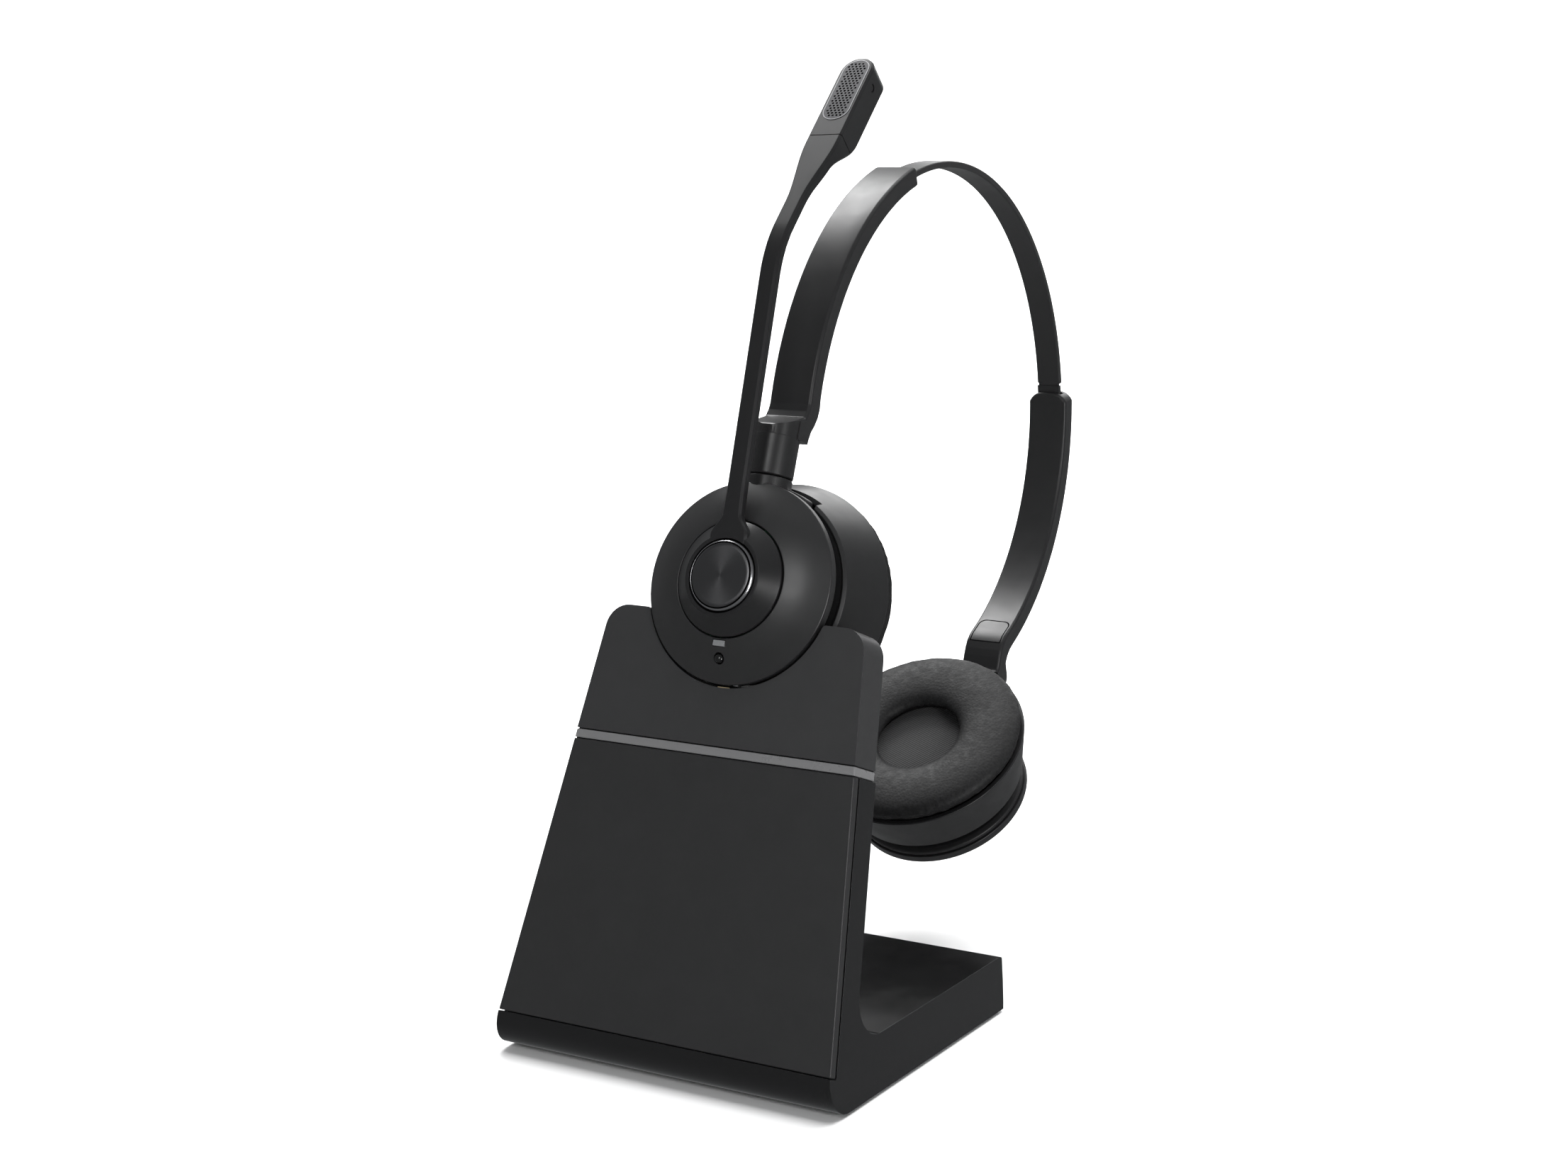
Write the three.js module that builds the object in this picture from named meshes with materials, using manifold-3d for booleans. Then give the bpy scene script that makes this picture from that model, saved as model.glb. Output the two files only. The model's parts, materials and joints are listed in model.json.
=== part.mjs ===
// Stereo wireless office headset docked on its leaning desk charging stand.
// Millimetres, +Z up, +X right, +Y to the back. The origin is on the desk under the middle of the
// stand's rubber pad.
import * as THREE from 'three';
import { mergeVertices } from 'three/addons/utils/BufferGeometryUtils.js';
import Module from 'manifold-3d';

const wasm = await Module();
wasm.setup();

// ---------------------------------------------------------------- driving dimensions
const gap = 0.3;                 // clearance between neighbouring pieces
const runGap = 0.5;              // clearance round a piece that moves

const lean = 20.15;              // degrees that the stand's front leans back
const seamHeight = 11.7;         // desk to the bottom edge of the front panel
const panelLength = 110.7;       // front panel along its slope
const seamHalfWidth = 50;        // half width at the bottom edge of the panel
const topHalfWidth = 38.4;       // half width at the top edge of the panel
const topCorner = 6.5;           // corner radius of the panel's top edge
const slabDepth = 11.3;          // thickness of the leaning slab
const plateDepth = 2.7;          // thickness of the lower front plate
const stripWidth = 2.6;          // accent strip along the slope
const stripDrop = 15.1;          // its top edge below the cradle's cut-out
const footLength = 98;           // from the front seam to the back of the foot
const footHeight = 15.4;
const footCorner = 5;            // plan radius of the foot's rear corners
const wall = 2.4;                // moulded wall of the stand
const padHeight = 1;             // rubber pad under the stand
const padInset = 10;             // pad edge inside the stand's edge
const noseRadius = 8;            // rounded front edge under the panel
const heelFillet = 9;            // fillet between the slab's back and the foot

const cupRise = 8.6;             // centre of the docked cup above the panel's top edge
const discRadius = 26.9;         // outer disc of both ear cups
const cradleGap = 0.7;           // cradle cut-out round the disc
const rimFront = 1.3;            // how far the disc's rim stands in front of the panel
const rimBack = 1.4;             // how far it reaches behind it
const seamRadius = 15.5;         // seam between the disc and the turning hub
const seamRise = 5.9;            // seam in front of the panel
const flatRadius = 10.8;         // edge of the hub's flat ring
const flatRise = 10.2;
const bezelRadius = 9.5;
const buttonRadius = 8.5;
const buttonRise = 11;
const buttonTravel = 0.5;

const shellNear = 6.4;           // ear shell: distance of its outer edge behind the panel plane
const shellFar = 22.4;           // and of its open edge
const shellGrowth = 4.5;         // how much wider it is at its open edge
const shellLip = 0.4;            // ear shell's outer edge outside the disc
const cushionLip = 0.4;          // cushion outside the shell's open edge
const cushionFace = 28.8;
const cushionHole = 11.8;
const clothRadius = 14.5;
const capBack = 3.4;             // back of the disc's rear cap
const ball = { y: 8.6, radius: 3.2 };     // ball that the ear shell tilts on
const yokeBack = 7.6;            // back of the yoke's saddle
const collarBack = 8.2;
const saddleBottom = 19.5;       // lower edge of the saddle above the cup's centre
const saddleHalf = 12.8;

const neckDepth = 4.8;           // neck axis behind the panel plane
const neckRadius = 6.2;
const neckLift = 2.5;            // bottom of the arm's neck above the disc's edge
const neckLength = 11.2;
const spigotRadius = 3;          // yoke's spigot that the arm swivels on
const spigotLength = 6.2;
const screwShank = 1.2;
const screwHead = 4.1;
const armWidth = 12.8;
const bandWidth = 7.8;
const bandOuter = 82.8;          // outer radius of the head band's arc
const bandDepth = 2;
const tongueDepth = 0.9;         // thickness of the band's hidden tongues
const tongueWidth = 6.8;
const leftReach = 12.2;          // gap from the left cup's panel plane to the band's outer circle
const leftLift = 31.8;           // band's centre above the bottom of the left neck
const rightReach = 5.7;          // the same two for the right cup
const rightLift = 29.4;
const leftMouth = -37.6;         // degrees from the top of the band's arc
const rightMouth = 61.8;
const leftTongue = 24;           // degrees of tongue hidden in the left arm
const rightTongue = 14;
const rightRetract = 14;         // degrees that the right arm can still slide up
const coverDepth = 1.2;          // cover let into each arm above its neck
const coverMargin = 1.4;         // arm left on either side of it

const rightTilt = 33;            // degrees that the right cup toes in

const boomWidth = 5.2;
const headWidth = 10.4;
const boomTurn = -2;             // degrees that the boom leans from straight up
const boomBend = 27;             // degrees that it bends in towards the mouth
const boomBendRadius = 34;

const discSides = 40;
const smallSides = 20;

// ---------------------------------------------------------------- sizes that follow from them
const cupHeight = panelLength + cupRise;
const cradleRadius = discRadius + cradleGap;
const stripTop = cupHeight - cradleRadius - stripDrop;
const stripBottom = stripTop - stripWidth;
const shellNearRadius = discRadius + shellLip;
const shellFarRadius = shellNearRadius + shellGrowth;
const shellSlope = shellGrowth / (shellFar - shellNear);
const cushionRadius = shellFarRadius + cushionLip;
const neckBottom = discRadius + neckLift;
const neckTop = neckBottom + neckLength;
const bandInner = bandOuter - bandDepth;
const bandCentre = { y: bandOuter + leftReach, z: neckBottom + leftLift };
const rightCentre = { y: bandOuter + rightReach, z: neckBottom + rightLift };

// ---------------------------------------------------------------- materials
const finish = (color, roughness, metalness = 0) =>
  new THREE.MeshStandardMaterial({ color, roughness, metalness });
const satin = finish(0x2b2b2d, 0.42);
const gloss = finish(0x141415, 0.2);
const plateBlack = finish(0x232324, 0.35);
const accent = finish(0x6d6e70, 0.3, 0.6);
const leatherette = finish(0x1d1d1e, 0.6);
const cloth = finish(0x3a3a3c, 0.95);
const rubber = finish(0x101010, 0.85);
const steel = finish(0xa9abad, 0.35, 1);
const brushed = finish(0x8c8d90, 0.3, 1);
const board = finish(0x1f4d33, 0.6);
const gold = finish(0xc9a04a, 0.3, 1);
const cell = finish(0x9aa0a6, 0.5, 0.3);
const clear = finish(0xcfd4d8, 0.2);

// ---------------------------------------------------------------- solids
const rad = THREE.MathUtils.degToRad;

// a closed three.js geometry as a solid
function solid(geometry) {
  geometry.deleteAttribute('normal');
  geometry.deleteAttribute('uv');
  const merged = mergeVertices(geometry, 1e-4);
  const index = merged.index.array;
  const triangles = [];
  for (let i = 0; i < index.length; i += 3) {
    const [a, b, c] = [index[i], index[i + 1], index[i + 2]];
    if (a !== b && b !== c && c !== a) triangles.push(a, b, c);
  }
  const vertProperties = new Float32Array(merged.attributes.position.array);
  const mesh = new wasm.Mesh({ numProp: 3, vertProperties, triVerts: new Uint32Array(triangles) });
  return new wasm.Manifold(mesh);
}

// outlines are drawn in the plane across the axis: (y, z) for x, (x, z) for y and (x, y) for z
const planes = {
  x: [[0, 1, 0], [0, 0, 1], [1, 0, 0]],
  y: [[1, 0, 0], [0, 0, 1], [0, -1, 0]],
  z: [[1, 0, 0], [0, 1, 0], [0, 0, 1]],
};

function prism(outline, axis, from, to) {
  const shape = new THREE.Shape(outline.map(([a, b]) => new THREE.Vector2(a, b)));
  const geometry = new THREE.ExtrudeGeometry(shape, { depth: to - from, bevelEnabled: false });
  const [u, v, w] = planes[axis].map((row) => new THREE.Vector3(...row));
  geometry.applyMatrix4(new THREE.Matrix4().makeBasis(u, v, w));
  const start = axis === 'y' ? -to : from;
  geometry.translate(w.x * start, w.y * start, w.z * start);
  return solid(geometry);
}

function block(x0, x1, y0, y1, z0, z1) {
  const geometry = new THREE.BoxGeometry(x1 - x0, y1 - y0, z1 - z0);
  geometry.translate((x0 + x1) / 2, (y0 + y1) / 2, (z0 + z1) / 2);
  return solid(geometry);
}

// turned about the y axis; the profile is a list of [radius, y]
function turned(profile, sides = discSides) {
  let area = 0;
  profile.forEach(([r, y], i) => {
    const [nextR, nextY] = profile[(i + 1) % profile.length];
    area += r * nextY - nextR * y;
  });
  const loop = area > 0 ? [...profile] : [...profile].reverse();
  const onAxis = loop.findIndex(([r], i) => r === 0 && loop[(i + loop.length - 1) % loop.length][0] === 0);
  const points = onAxis < 0 ? [...loop, loop[0]] : [...loop.slice(onAxis), ...loop.slice(0, onAxis)];
  return solid(new THREE.LatheGeometry(points.map(([r, y]) => new THREE.Vector2(r, y)), sides));
}

const post = (radius, y0, y1, sides) => turned([[0, y0], [radius, y0], [radius, y1], [0, y1]], sides);

// the same, standing along z at (x, y)
const upright = (radius, x, y, z0, z1, sides = smallSides) =>
  post(radius, z0, z1, sides).rotate([90, 0, 0]).translate([x, y, 0]);

function arc(cx, cy, radius, from, to, steps) {
  return Array.from({ length: steps + 1 }, (_, i) => {
    const angle = rad(from + (to - from) * i / steps);
    return [cx + radius * Math.cos(angle), cy + radius * Math.sin(angle)];
  });
}

// rounded rectangle in the plane across an axis
function roundedBox(a0, a1, b0, b1, radius, steps = 4) {
  return [
    ...arc(a1 - radius, b1 - radius, radius, 0, 90, steps),
    ...arc(a0 + radius, b1 - radius, radius, 90, 180, steps),
    ...arc(a0 + radius, b0 + radius, radius, 180, 270, steps),
    ...arc(a1 - radius, b0 + radius, radius, 270, 360, steps),
  ];
}

function addPiece(parent, name, body, material) {
  const mesh = body.getMesh();
  const geometry = new THREE.BufferGeometry();
  geometry.setAttribute('position', new THREE.BufferAttribute(new Float32Array(mesh.vertProperties), 3));
  geometry.setIndex(new THREE.BufferAttribute(new Uint32Array(mesh.triVerts), 1));
  geometry.computeVertexNormals();
  const piece = new THREE.Mesh(geometry, material);
  piece.name = name;
  parent.add(piece);
  return piece;
}

// ---------------------------------------------------------------- frames
const headsetDock = new THREE.Group();
const stand = new THREE.Group();
const padMiddle = footLength / 2;
stand.position.y = -padMiddle;
headsetDock.add(stand);

// the panel frame: x right, y into the slab, z up the slope from the seam
const panel = new THREE.Group();
panel.position.z = seamHeight;
panel.rotation.x = -rad(lean);
stand.add(panel);

// both cup frames: y from the disc towards the head, z up towards the neck
const leftFrame = new THREE.Group();
leftFrame.position.z = cupHeight;
panel.add(leftFrame);
const rightFrame = new THREE.Group();
const [tiltSin, tiltCos] = [Math.sin(rad(rightTilt)), Math.cos(rad(rightTilt))];
rightFrame.position.y = bandCentre.y + tiltCos * rightCentre.y - tiltSin * rightCentre.z;
rightFrame.position.z = bandCentre.z - tiltSin * rightCentre.y - tiltCos * rightCentre.z;
rightFrame.rotation.set(-rad(rightTilt), 0, Math.PI);
leftFrame.add(rightFrame);

// ---------------------------------------------------------------- stand
const [leanSin, leanCos] = [Math.sin(rad(lean)), Math.cos(rad(lean))];
const panelTop = seamHeight + panelLength * leanCos;
const sideSlope = (seamHalfWidth - topHalfWidth) / (panelTop - seamHeight);
const halfWidthAt = (z) => seamHalfWidth - sideSlope * (z - seamHeight);
const halfWidthOnSlope = (s) => halfWidthAt(seamHeight + s * leanCos);

// a point of the panel frame in the stand's (y, z)
const fromPanel = (depth, s) => [s * leanSin + depth * leanCos, seamHeight + s * leanCos - depth * leanSin];

// the tapering front outline of the whole stand, as a solid to cut with
function taperedBlock(inset) {
  const [low, high] = [padHeight - 5, panelTop + 5];
  const outline = [[halfWidthAt(low) - inset, low], [halfWidthAt(high) - inset, high],
    [inset - halfWidthAt(high), high], [inset - halfWidthAt(low), low]];
  return prism(outline, 'y', -40, footLength + 20);
}

// slice of the slab in the panel frame
function slabSlice(s0, s1, depth0, depth1) {
  const [w0, w1] = [halfWidthOnSlope(s0), halfWidthOnSlope(s1)];
  return prism([[w0, s0], [w1, s1], [-w1, s1], [-w0, s0]], 'y', depth0, depth1);
}

const wireHalf = 8;              // half width of the way for the wires up to the contacts
const noseCentre = fromPanel(noseRadius, 0);
const backDepth = plateDepth + gap;

function standBody() {
  // the heel arc touches the slab's back and the foot's top
  const heelZ = footHeight + heelFillet;
  const heelS = (heelZ - seamHeight + (slabDepth + heelFillet) * leanSin) / leanCos;
  const [heelY] = fromPanel(slabDepth + heelFillet, heelS);
  const outline = [
    ...arc(noseCentre[0], noseCentre[1], noseRadius, 180 - lean, 270, 7),
    [noseCentre[0] + 2, padHeight],
    [footLength - 2.4, padHeight],
    [footLength - 1.2, padHeight + 1.2],
    [footLength, footHeight - 1.5],
    [footLength - 1, footHeight - 0.3],
    [footLength - 2.2, footHeight],
    ...arc(heelY, heelZ, heelFillet, 270, 180 - lean, 5),
    fromPanel(slabDepth, stripBottom - gap),
    fromPanel(backDepth, stripBottom - gap),
    fromPanel(backDepth, 0),
  ];
  const width = 2 * halfWidthAt(padHeight);
  const planOutline = roundedBox(-width / 2 - 1, width / 2 + 1, -60, footLength + 0.2, footCorner);
  const plan = prism(planOutline, 'z', -5, 200);
  let body = prism(outline, 'x', -60, 60).intersect(taperedBlock(0)).intersect(plan);
  // hollow foot, open below
  const side = halfWidthAt(footHeight) - wall;
  body = body.subtract(block(-side, side, 12, footLength - wall - 2, padHeight - 1, footHeight - wall));
  // hollow slab, reached through the foot
  const [slotFront, slotBack] = [backDepth + 1.6, slabDepth - 1.8];
  const slot = prism([fromPanel(slotFront, 6), fromPanel(slotFront, stripBottom - 6),
    fromPanel(slotBack, stripBottom - 6), fromPanel(slotBack, 8), [16, 12], [12.5, 8]], 'x', -30, 30);
  const wireWay = prism([fromPanel(slotFront, 60), fromPanel(slotFront, 80), fromPanel(slotBack, 80),
    fromPanel(slotBack, 60)], 'x', -wireHalf, wireHalf);
  body = body.subtract(slot).subtract(wireWay);
  // socket opening in the foot's back
  return body.subtract(block(-5.4, 5.4, footLength - 8, footLength + 4, 4.7, 9.3));
}

addPiece(stand, 'stand_body', standBody(), gloss);
addPiece(panel, 'front_plate', slabSlice(gap, stripBottom - gap, 0, plateDepth), plateBlack);
const wireHole = block(-wireHalf, wireHalf, backDepth + 1.6, slabDepth - 1.8, stripBottom - 1, stripTop + 1);
const strip = slabSlice(stripBottom, stripTop - gap, 0, slabDepth).subtract(wireHole);
addPiece(panel, 'accent_strip', strip, accent);

// bottom plate and what it closes in
const plateSide = halfWidthAt(footHeight) - wall - gap;
const plateTop = padHeight + 1.8;
const plateEnd = footLength - wall - 2 - gap;
const screwInset = 14.4;         // base screws inside the foot's edges
const [screwX, screwBack] = [seamHalfWidth - screwInset, footLength - screwInset];
const screwSpots = [[-screwX, 20], [screwX, 20], [-screwX, screwBack], [screwX, screwBack]];
const screwRadius = 1.6;
let bottomPlate = block(-plateSide, plateSide, 12 + gap, plateEnd, padHeight, plateTop);
screwSpots.forEach(([x, y]) => {
  bottomPlate = bottomPlate.subtract(upright(screwRadius + gap, x, y, padHeight - 1, plateTop + 1, 12));
});
addPiece(stand, 'bottom_plate', bottomPlate, gloss);
screwSpots.forEach(([x, y], i) => {
  const screw = upright(screwRadius, x, y, padHeight + 0.2, plateTop + 5, 10);
  addPiece(stand, `base_screw_${i + 1}`, screw, steel);
});
const padSide = halfWidthAt(padHeight) - padInset;
const padCorner = 6;
const padOutline = roundedBox(-padSide, padSide, padInset, footLength - padInset, padCorner);
const pad = prism(padOutline, 'z', 0, padHeight - 0.05);
const padHoles = screwSpots.map(([x, y]) => upright(screwRadius + 1, x, y, -1, 2, 12));
addPiece(stand, 'rubber_pad', padHoles.reduce((body, hole) => body.subtract(hole), pad), rubber);
const ballast = { half: 30, inset: 28 };  // half its width, and how far it stops short of the foot's ends
addPiece(stand, 'ballast_weight',
  block(-ballast.half, ballast.half, ballast.inset, footLength - ballast.inset,
    plateTop + gap, footHeight - wall - gap), steel);
const boardTop = plateTop + gap + 1.6;
addPiece(stand, 'charging_board',
  block(-14, 14, footLength - 26, footLength - 7.5, plateTop + gap, boardTop), board);
const socketLow = boardTop + gap;
addPiece(stand, 'usb_socket',
  block(-4.7, 4.7, footLength - 13, footLength - 1.6, socketLow, socketLow + 3.6)
    .subtract(block(-4, 4, footLength - 11, footLength, socketLow + 0.6, socketLow + 3)), steel);

// cradle: the top of the slab with the round cut-out for the docked disc
const contactBottom = stripTop + 1.5;
const contactDepth = [0.7, 2.3];
const contacts = [
  { name: 'wide', x0: -1.8, x1: 1.8 },
  { name: 'narrow', x0: 3.2, x1: 4.7 },
];
function cradleHousing() {
  const [w0, w1] = [halfWidthOnSlope(stripTop), halfWidthOnSlope(panelLength)];
  const tilt = Math.atan2(w0 - w1, panelLength - stripTop) * 180 / Math.PI;
  const corner = arc(w1 - topCorner, panelLength - topCorner, topCorner, tilt, 90, 6);
  const outline = [[w0, stripTop], ...corner, ...corner.map(([x, s]) => [-x, s]).reverse(), [-w0, stripTop]];
  let body = prism(outline, 'y', 0, slabDepth);
  // straight bore for the disc, then a wider one for the ear shell behind it
  const step = shellNear - 2.6;
  const wide = shellNearRadius + 1.2;
  const bore = turned([[0, -20], [cradleRadius, -20], [cradleRadius, step], [wide, step],
    [wide + shellSlope * 10, step + 10], [0, step + 10]], 56);
  body = body.subtract(bore.translate([0, 0, cupHeight]));
  // pocket for the contact block, and the slots that its pins pass through
  body = body.subtract(block(-12, 12, 0.4 + wall - 2.3, slabDepth - wall, stripTop - 1, contactBottom + 8.4));
  contacts.forEach(({ x0, x1 }) => {
    const [y0, y1] = contactDepth;
    body = body.subtract(block(x0 - gap, x1 + gap, y0 - 0.25, y1 + gap, contactBottom, cupHeight));
  });
  return body;
}
addPiece(panel, 'cradle_housing', cradleHousing(), plateBlack);
const pinTop = cupHeight - discRadius - gap - 0.1;
const pinLow = contactBottom + 6;
const contactHolder = { half: 11, height: 8 };
let contactBlock = block(-contactHolder.half, contactHolder.half, contactDepth[0] + 0.2,
  slabDepth - wall - gap, contactBottom, contactBottom + contactHolder.height);
contacts.forEach(({ x0, x1 }) => {
  const [y0, y1] = contactDepth;
  contactBlock = contactBlock.subtract(
    block(x0 - gap, x1 + gap, y0 - 1, y1 + gap, pinLow - 1.6, contactBottom + contactHolder.height + 1));
});
addPiece(panel, 'contact_block', contactBlock, satin);
contacts.forEach(({ name, x0, x1 }) => {
  const [y0, y1] = contactDepth;
  addPiece(panel, `contact_pin_${name}`, block(x0, x1, y0, y1, pinLow, pinTop), gold);
});

// ---------------------------------------------------------------- ear cups
const coverWall = 1.6;

// the domed outer disc from its rim in to the hub seam
function discRing(innerRadius, innerRise) {
  const rim = discRadius;
  const crown = arc(0, 0, 1, 0, 1, 4).map((_, i) => {
    const t = i / 4;
    const bulge = 0.5 * Math.sin(Math.PI * t);
    return [rim - 0.5 + (innerRadius - rim + 0.5) * t, -(rimFront + (innerRise - rimFront) * t + bulge)];
  });
  return [[rim, rimBack], [rim, -rimFront + 0.5], ...crown,
    [innerRadius, -innerRise + coverWall], [rim - 3, -rimFront + coverWall - 0.2], [rim - 1.6, rimBack]];
}

const rearCap = () => turned([[0, rimBack + gap], [discRadius - 0.5, rimBack + gap],
  [discRadius - 0.5, capBack - 0.8], [discRadius - 1.3, capBack], [0, capBack]]);

// bracket between the disc and the ear shell: saddle, tongue, ball, collar and spigot
const yokeFront = capBack + gap;
const collarBottom = discRadius + shellLip;
const notch = { half: saddleHalf + 1.2, back: shellNear + 3.8, bottom: saddleBottom - runGap };
function yoke() {
  const saddle = block(-saddleHalf, saddleHalf, yokeFront, yokeBack, saddleBottom, 60)
    .intersect(post(collarBottom, 0, 20, 56));
  const tongue = block(-6, 6, yokeFront, yokeFront + 1.5, -6, saddleBottom + 2);
  const collar = upright(neckRadius, 0, neckDepth, collarBottom, neckBottom - gap, 28)
    .subtract(block(-20, 20, collarBack, 20, 20, neckBottom));
  const root = block(-5, 5, yokeFront, collarBack, saddleBottom + 4, collarBottom + 1);
  const spigot = upright(spigotRadius, 0, neckDepth, collarBottom + 1, neckBottom + spigotLength);
  const stem = post(1.9, yokeFront + 1, ball.y, 12);
  const knob = solid(new THREE.SphereGeometry(ball.radius, 14, 8)).translate([0, ball.y, 0]);
  const screwHole = upright(screwShank + gap, 0, neckDepth, neckBottom - 1.4, neckBottom + 20, 12);
  return saddle.add(tongue).add(collar).add(root).add(spigot).add(stem).add(knob).subtract(screwHole);
}
function swivelScrew() {
  const seat = neckBottom + spigotLength + gap;
  const shank = upright(screwShank, 0, neckDepth, neckBottom - 1, seat + 0.5, 12);
  return shank.add(upright(screwHead, 0, neckDepth, seat, seat + 1.7));
}
// room that the spigot and its screw turn in
function swivelBore() {
  const bore = upright(spigotRadius + gap, 0, neckDepth, neckBottom - 1, neckBottom + spigotLength);
  const chamber = upright(screwHead + gap, 0, neckDepth, neckBottom + spigotLength - 0.2,
    neckBottom + spigotLength + 2.5);
  return bore.add(chamber);
}

function earShell() {
  const [r0, r1] = [shellNearRadius, shellFarRadius];
  const backWall = [shellNear + 0.5, shellNear + 2.2];
  const socket = ball.radius + runGap;
  const profile = [
    [socket, backWall[0]], [r0 - 1.6, backWall[0]], [r0 - 0.9, shellNear], [r0, shellNear + 0.7],
    [r1, shellFar], [r1 - 1.6, shellFar],
    [r0 - 1.6 + shellSlope * (backWall[1] + 1 - shellNear), backWall[1] + 1],
    [r0 - 3, backWall[1]], [socket, backWall[1]],
  ];
  const cut = block(-notch.half, notch.half, 0, notch.back, notch.bottom, 60);
  return turned(profile).subtract(cut);
}
const bafflePlane = shellFar - 2.6;
const baffle = () => turned([[clothRadius - 1.4, bafflePlane], [shellFarRadius - 3, bafflePlane],
  [shellFarRadius - 2.6, bafflePlane + 1.6], [clothRadius - 1.4, bafflePlane + 1.6]]);
const driver = () => turned([[0, 12.4], [7, 12.4], [7, 15], [12.6, 17.4], [12.6, bafflePlane + 1.2],
  [11.6, bafflePlane + 1.2], [5, bafflePlane - 1.2], [0, bafflePlane - 0.2]], 32);
const speakerCloth = () => post(clothRadius, bafflePlane + 1.6 + gap, bafflePlane + 2.3, 40);

function cushion() {
  const low = shellFar + gap;
  const middle = (cushionRadius + cushionHole) / 2;
  const half = (cushionRadius - cushionHole) / 2;
  const crown = Array.from({ length: 8 }, (_, i) => {
    const angle = Math.PI * i / 7;
    const height = (cushionFace - low - 1.4) * Math.sin(angle) ** 0.7;
    return [middle + half * Math.cos(angle), low + 1.4 + height];
  });
  return turned([[cushionHole + 3.4, low], [cushionRadius - 1.2, low], ...crown]);
}

function earCup(frame, side) {
  addPiece(frame, `${side}_rear_cap`, rearCap(), satin);
  addPiece(frame, `${side}_yoke`, yoke(), satin);
  addPiece(frame, `${side}_swivel_screw`, swivelScrew(), steel);
  addPiece(frame, `${side}_ear_shell`, earShell(), satin);
  addPiece(frame, `${side}_baffle`, baffle(), satin);
  addPiece(frame, `${side}_speaker`, driver(), steel);
  addPiece(frame, `${side}_speaker_cloth`, speakerCloth(), cloth);
  addPiece(frame, `${side}_cushion`, cushion(), leatherette);
}
earCup(leftFrame, 'left');
earCup(rightFrame, 'right');

// rocker for the volume on the disc's edge, away from the boom's view
const rocker = { x: -discRadius + 0.7, half: 6, y0: -0.4, y1: 0.9 };
const rockerPocket = block(-discRadius - 2, -discRadius + 3.2, rocker.y0 - runGap, rimBack + 1,
  -rocker.half - runGap, rocker.half + runGap);
const lamp = { x: 1.7, z0: -17.6, z1: -16.1 };
const pairing = { z: -20.6, radius: 1.25 };
function leftCover() {
  const light = block(-lamp.x - 0.2, lamp.x + 0.2, -9, 2, lamp.z0 - 0.2, lamp.z1 + 0.2);
  const hole = post(pairing.radius + gap, -9, 0.2, 16).translate([0, 0, pairing.z]);
  let body = turned(discRing(seamRadius, seamRise)).subtract(light).subtract(hole).subtract(rockerPocket);
  contacts.forEach(({ x0, x1 }) => {
    body = body.subtract(
      block(x0 - gap, x1 + gap, contactDepth[0] - 1.2, 3, -discRadius - 1, -discRadius + 1.1));
  });
  return body;
}
addPiece(leftFrame, 'left_cover', leftCover(), satin);
contacts.forEach(({ name, x0, x1 }) => {
  const plate = block(x0, x1, contactDepth[0] - 0.9, rimBack, -discRadius + 0.15, -discRadius + 0.8);
  addPiece(leftFrame, `charge_contact_${name}`, plate, gold);
});
addPiece(leftFrame, 'status_window', block(-lamp.x, lamp.x, -5.75, -3.9, lamp.z0, lamp.z1), clear);
const pairButton = turned([[0, -5], [0.8, -4.8], [pairing.radius, -4.2], [pairing.radius, -1.8],
  [0, -1.8]], 12);
addPiece(leftFrame, 'pairing_button', pairButton.translate([0, 0, pairing.z]), satin);
const rockerBody = block(rocker.x - 0.6, rocker.x + 2, rocker.y0, rocker.y1, -rocker.half, rocker.half);
addPiece(leftFrame, 'volume_rocker', rockerBody, satin);
const mainBoard = post(discRadius - 6.9, 0, 1.2, 32);
addPiece(leftFrame, 'headset_board', mainBoard, board);
const carrier = turned([[0, -7.2], [bezelRadius - 0.2, -7.2], [bezelRadius - 0.2, -0.3], [0, -0.3]], 32);
addPiece(leftFrame, 'button_carrier', carrier, satin);
addPiece(leftFrame, 'call_switch', post(2.6, -8.2, -7.2 - gap, 16), steel);
const bezel = turned([[buttonRadius + gap, -7.5], [bezelRadius, -7.5], [bezelRadius, -9.8],
  [bezelRadius - 0.2, -10.3], [buttonRadius + gap, -10.8]]);
addPiece(leftFrame, 'button_bezel', bezel, brushed);
const button = turned([[0, -buttonRise], [buttonRadius - 0.6, -buttonRise + 0.1],
  [buttonRadius, -buttonRise + 0.5], [buttonRadius, -9.2], [0, -9.2]]);
addPiece(leftFrame, 'call_button', button, brushed);

// right cup's disc has a plain cap in place of the boom's hub
addPiece(rightFrame, 'right_cover', turned(discRing(seamRadius, seamRise)), satin);
const centreCap = turned([[0, -8.2], [flatRadius, -8], [seamRadius - gap, -6], [seamRadius - gap, -4.6],
  [0, -4.6]]);
addPiece(rightFrame, 'right_centre_cap', centreCap, satin);
const battery = block(-14, 14, shellNear + 3, shellNear + 5.6, 4.5, 19.5);
addPiece(rightFrame, 'battery', battery, cell);

// ---------------------------------------------------------------- boom
const boomFrame = new THREE.Group();
boomFrame.rotation.y = rad(boomTurn);
leftFrame.add(boomFrame);
const hub = turned([[bezelRadius + gap, -flatRise], [flatRadius, -flatRise],
  [seamRadius - gap, -seamRise - 0.2], [seamRadius - gap, -seamRise + 0.8],
  [13.4, -seamRise + 0.8], [13.4, -3], [bezelRadius + gap, -3]]);

const boomFace = -flatRise;          // outer face of the straight part
const bendStart = 80.5;              // above the cup's centre
const seamAlong = 33;                // from the end of the bend to the seam, along the bent part
const tipAlong = 64;
const boomDepth = 3.4;
const headDepth = 9.2;

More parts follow.
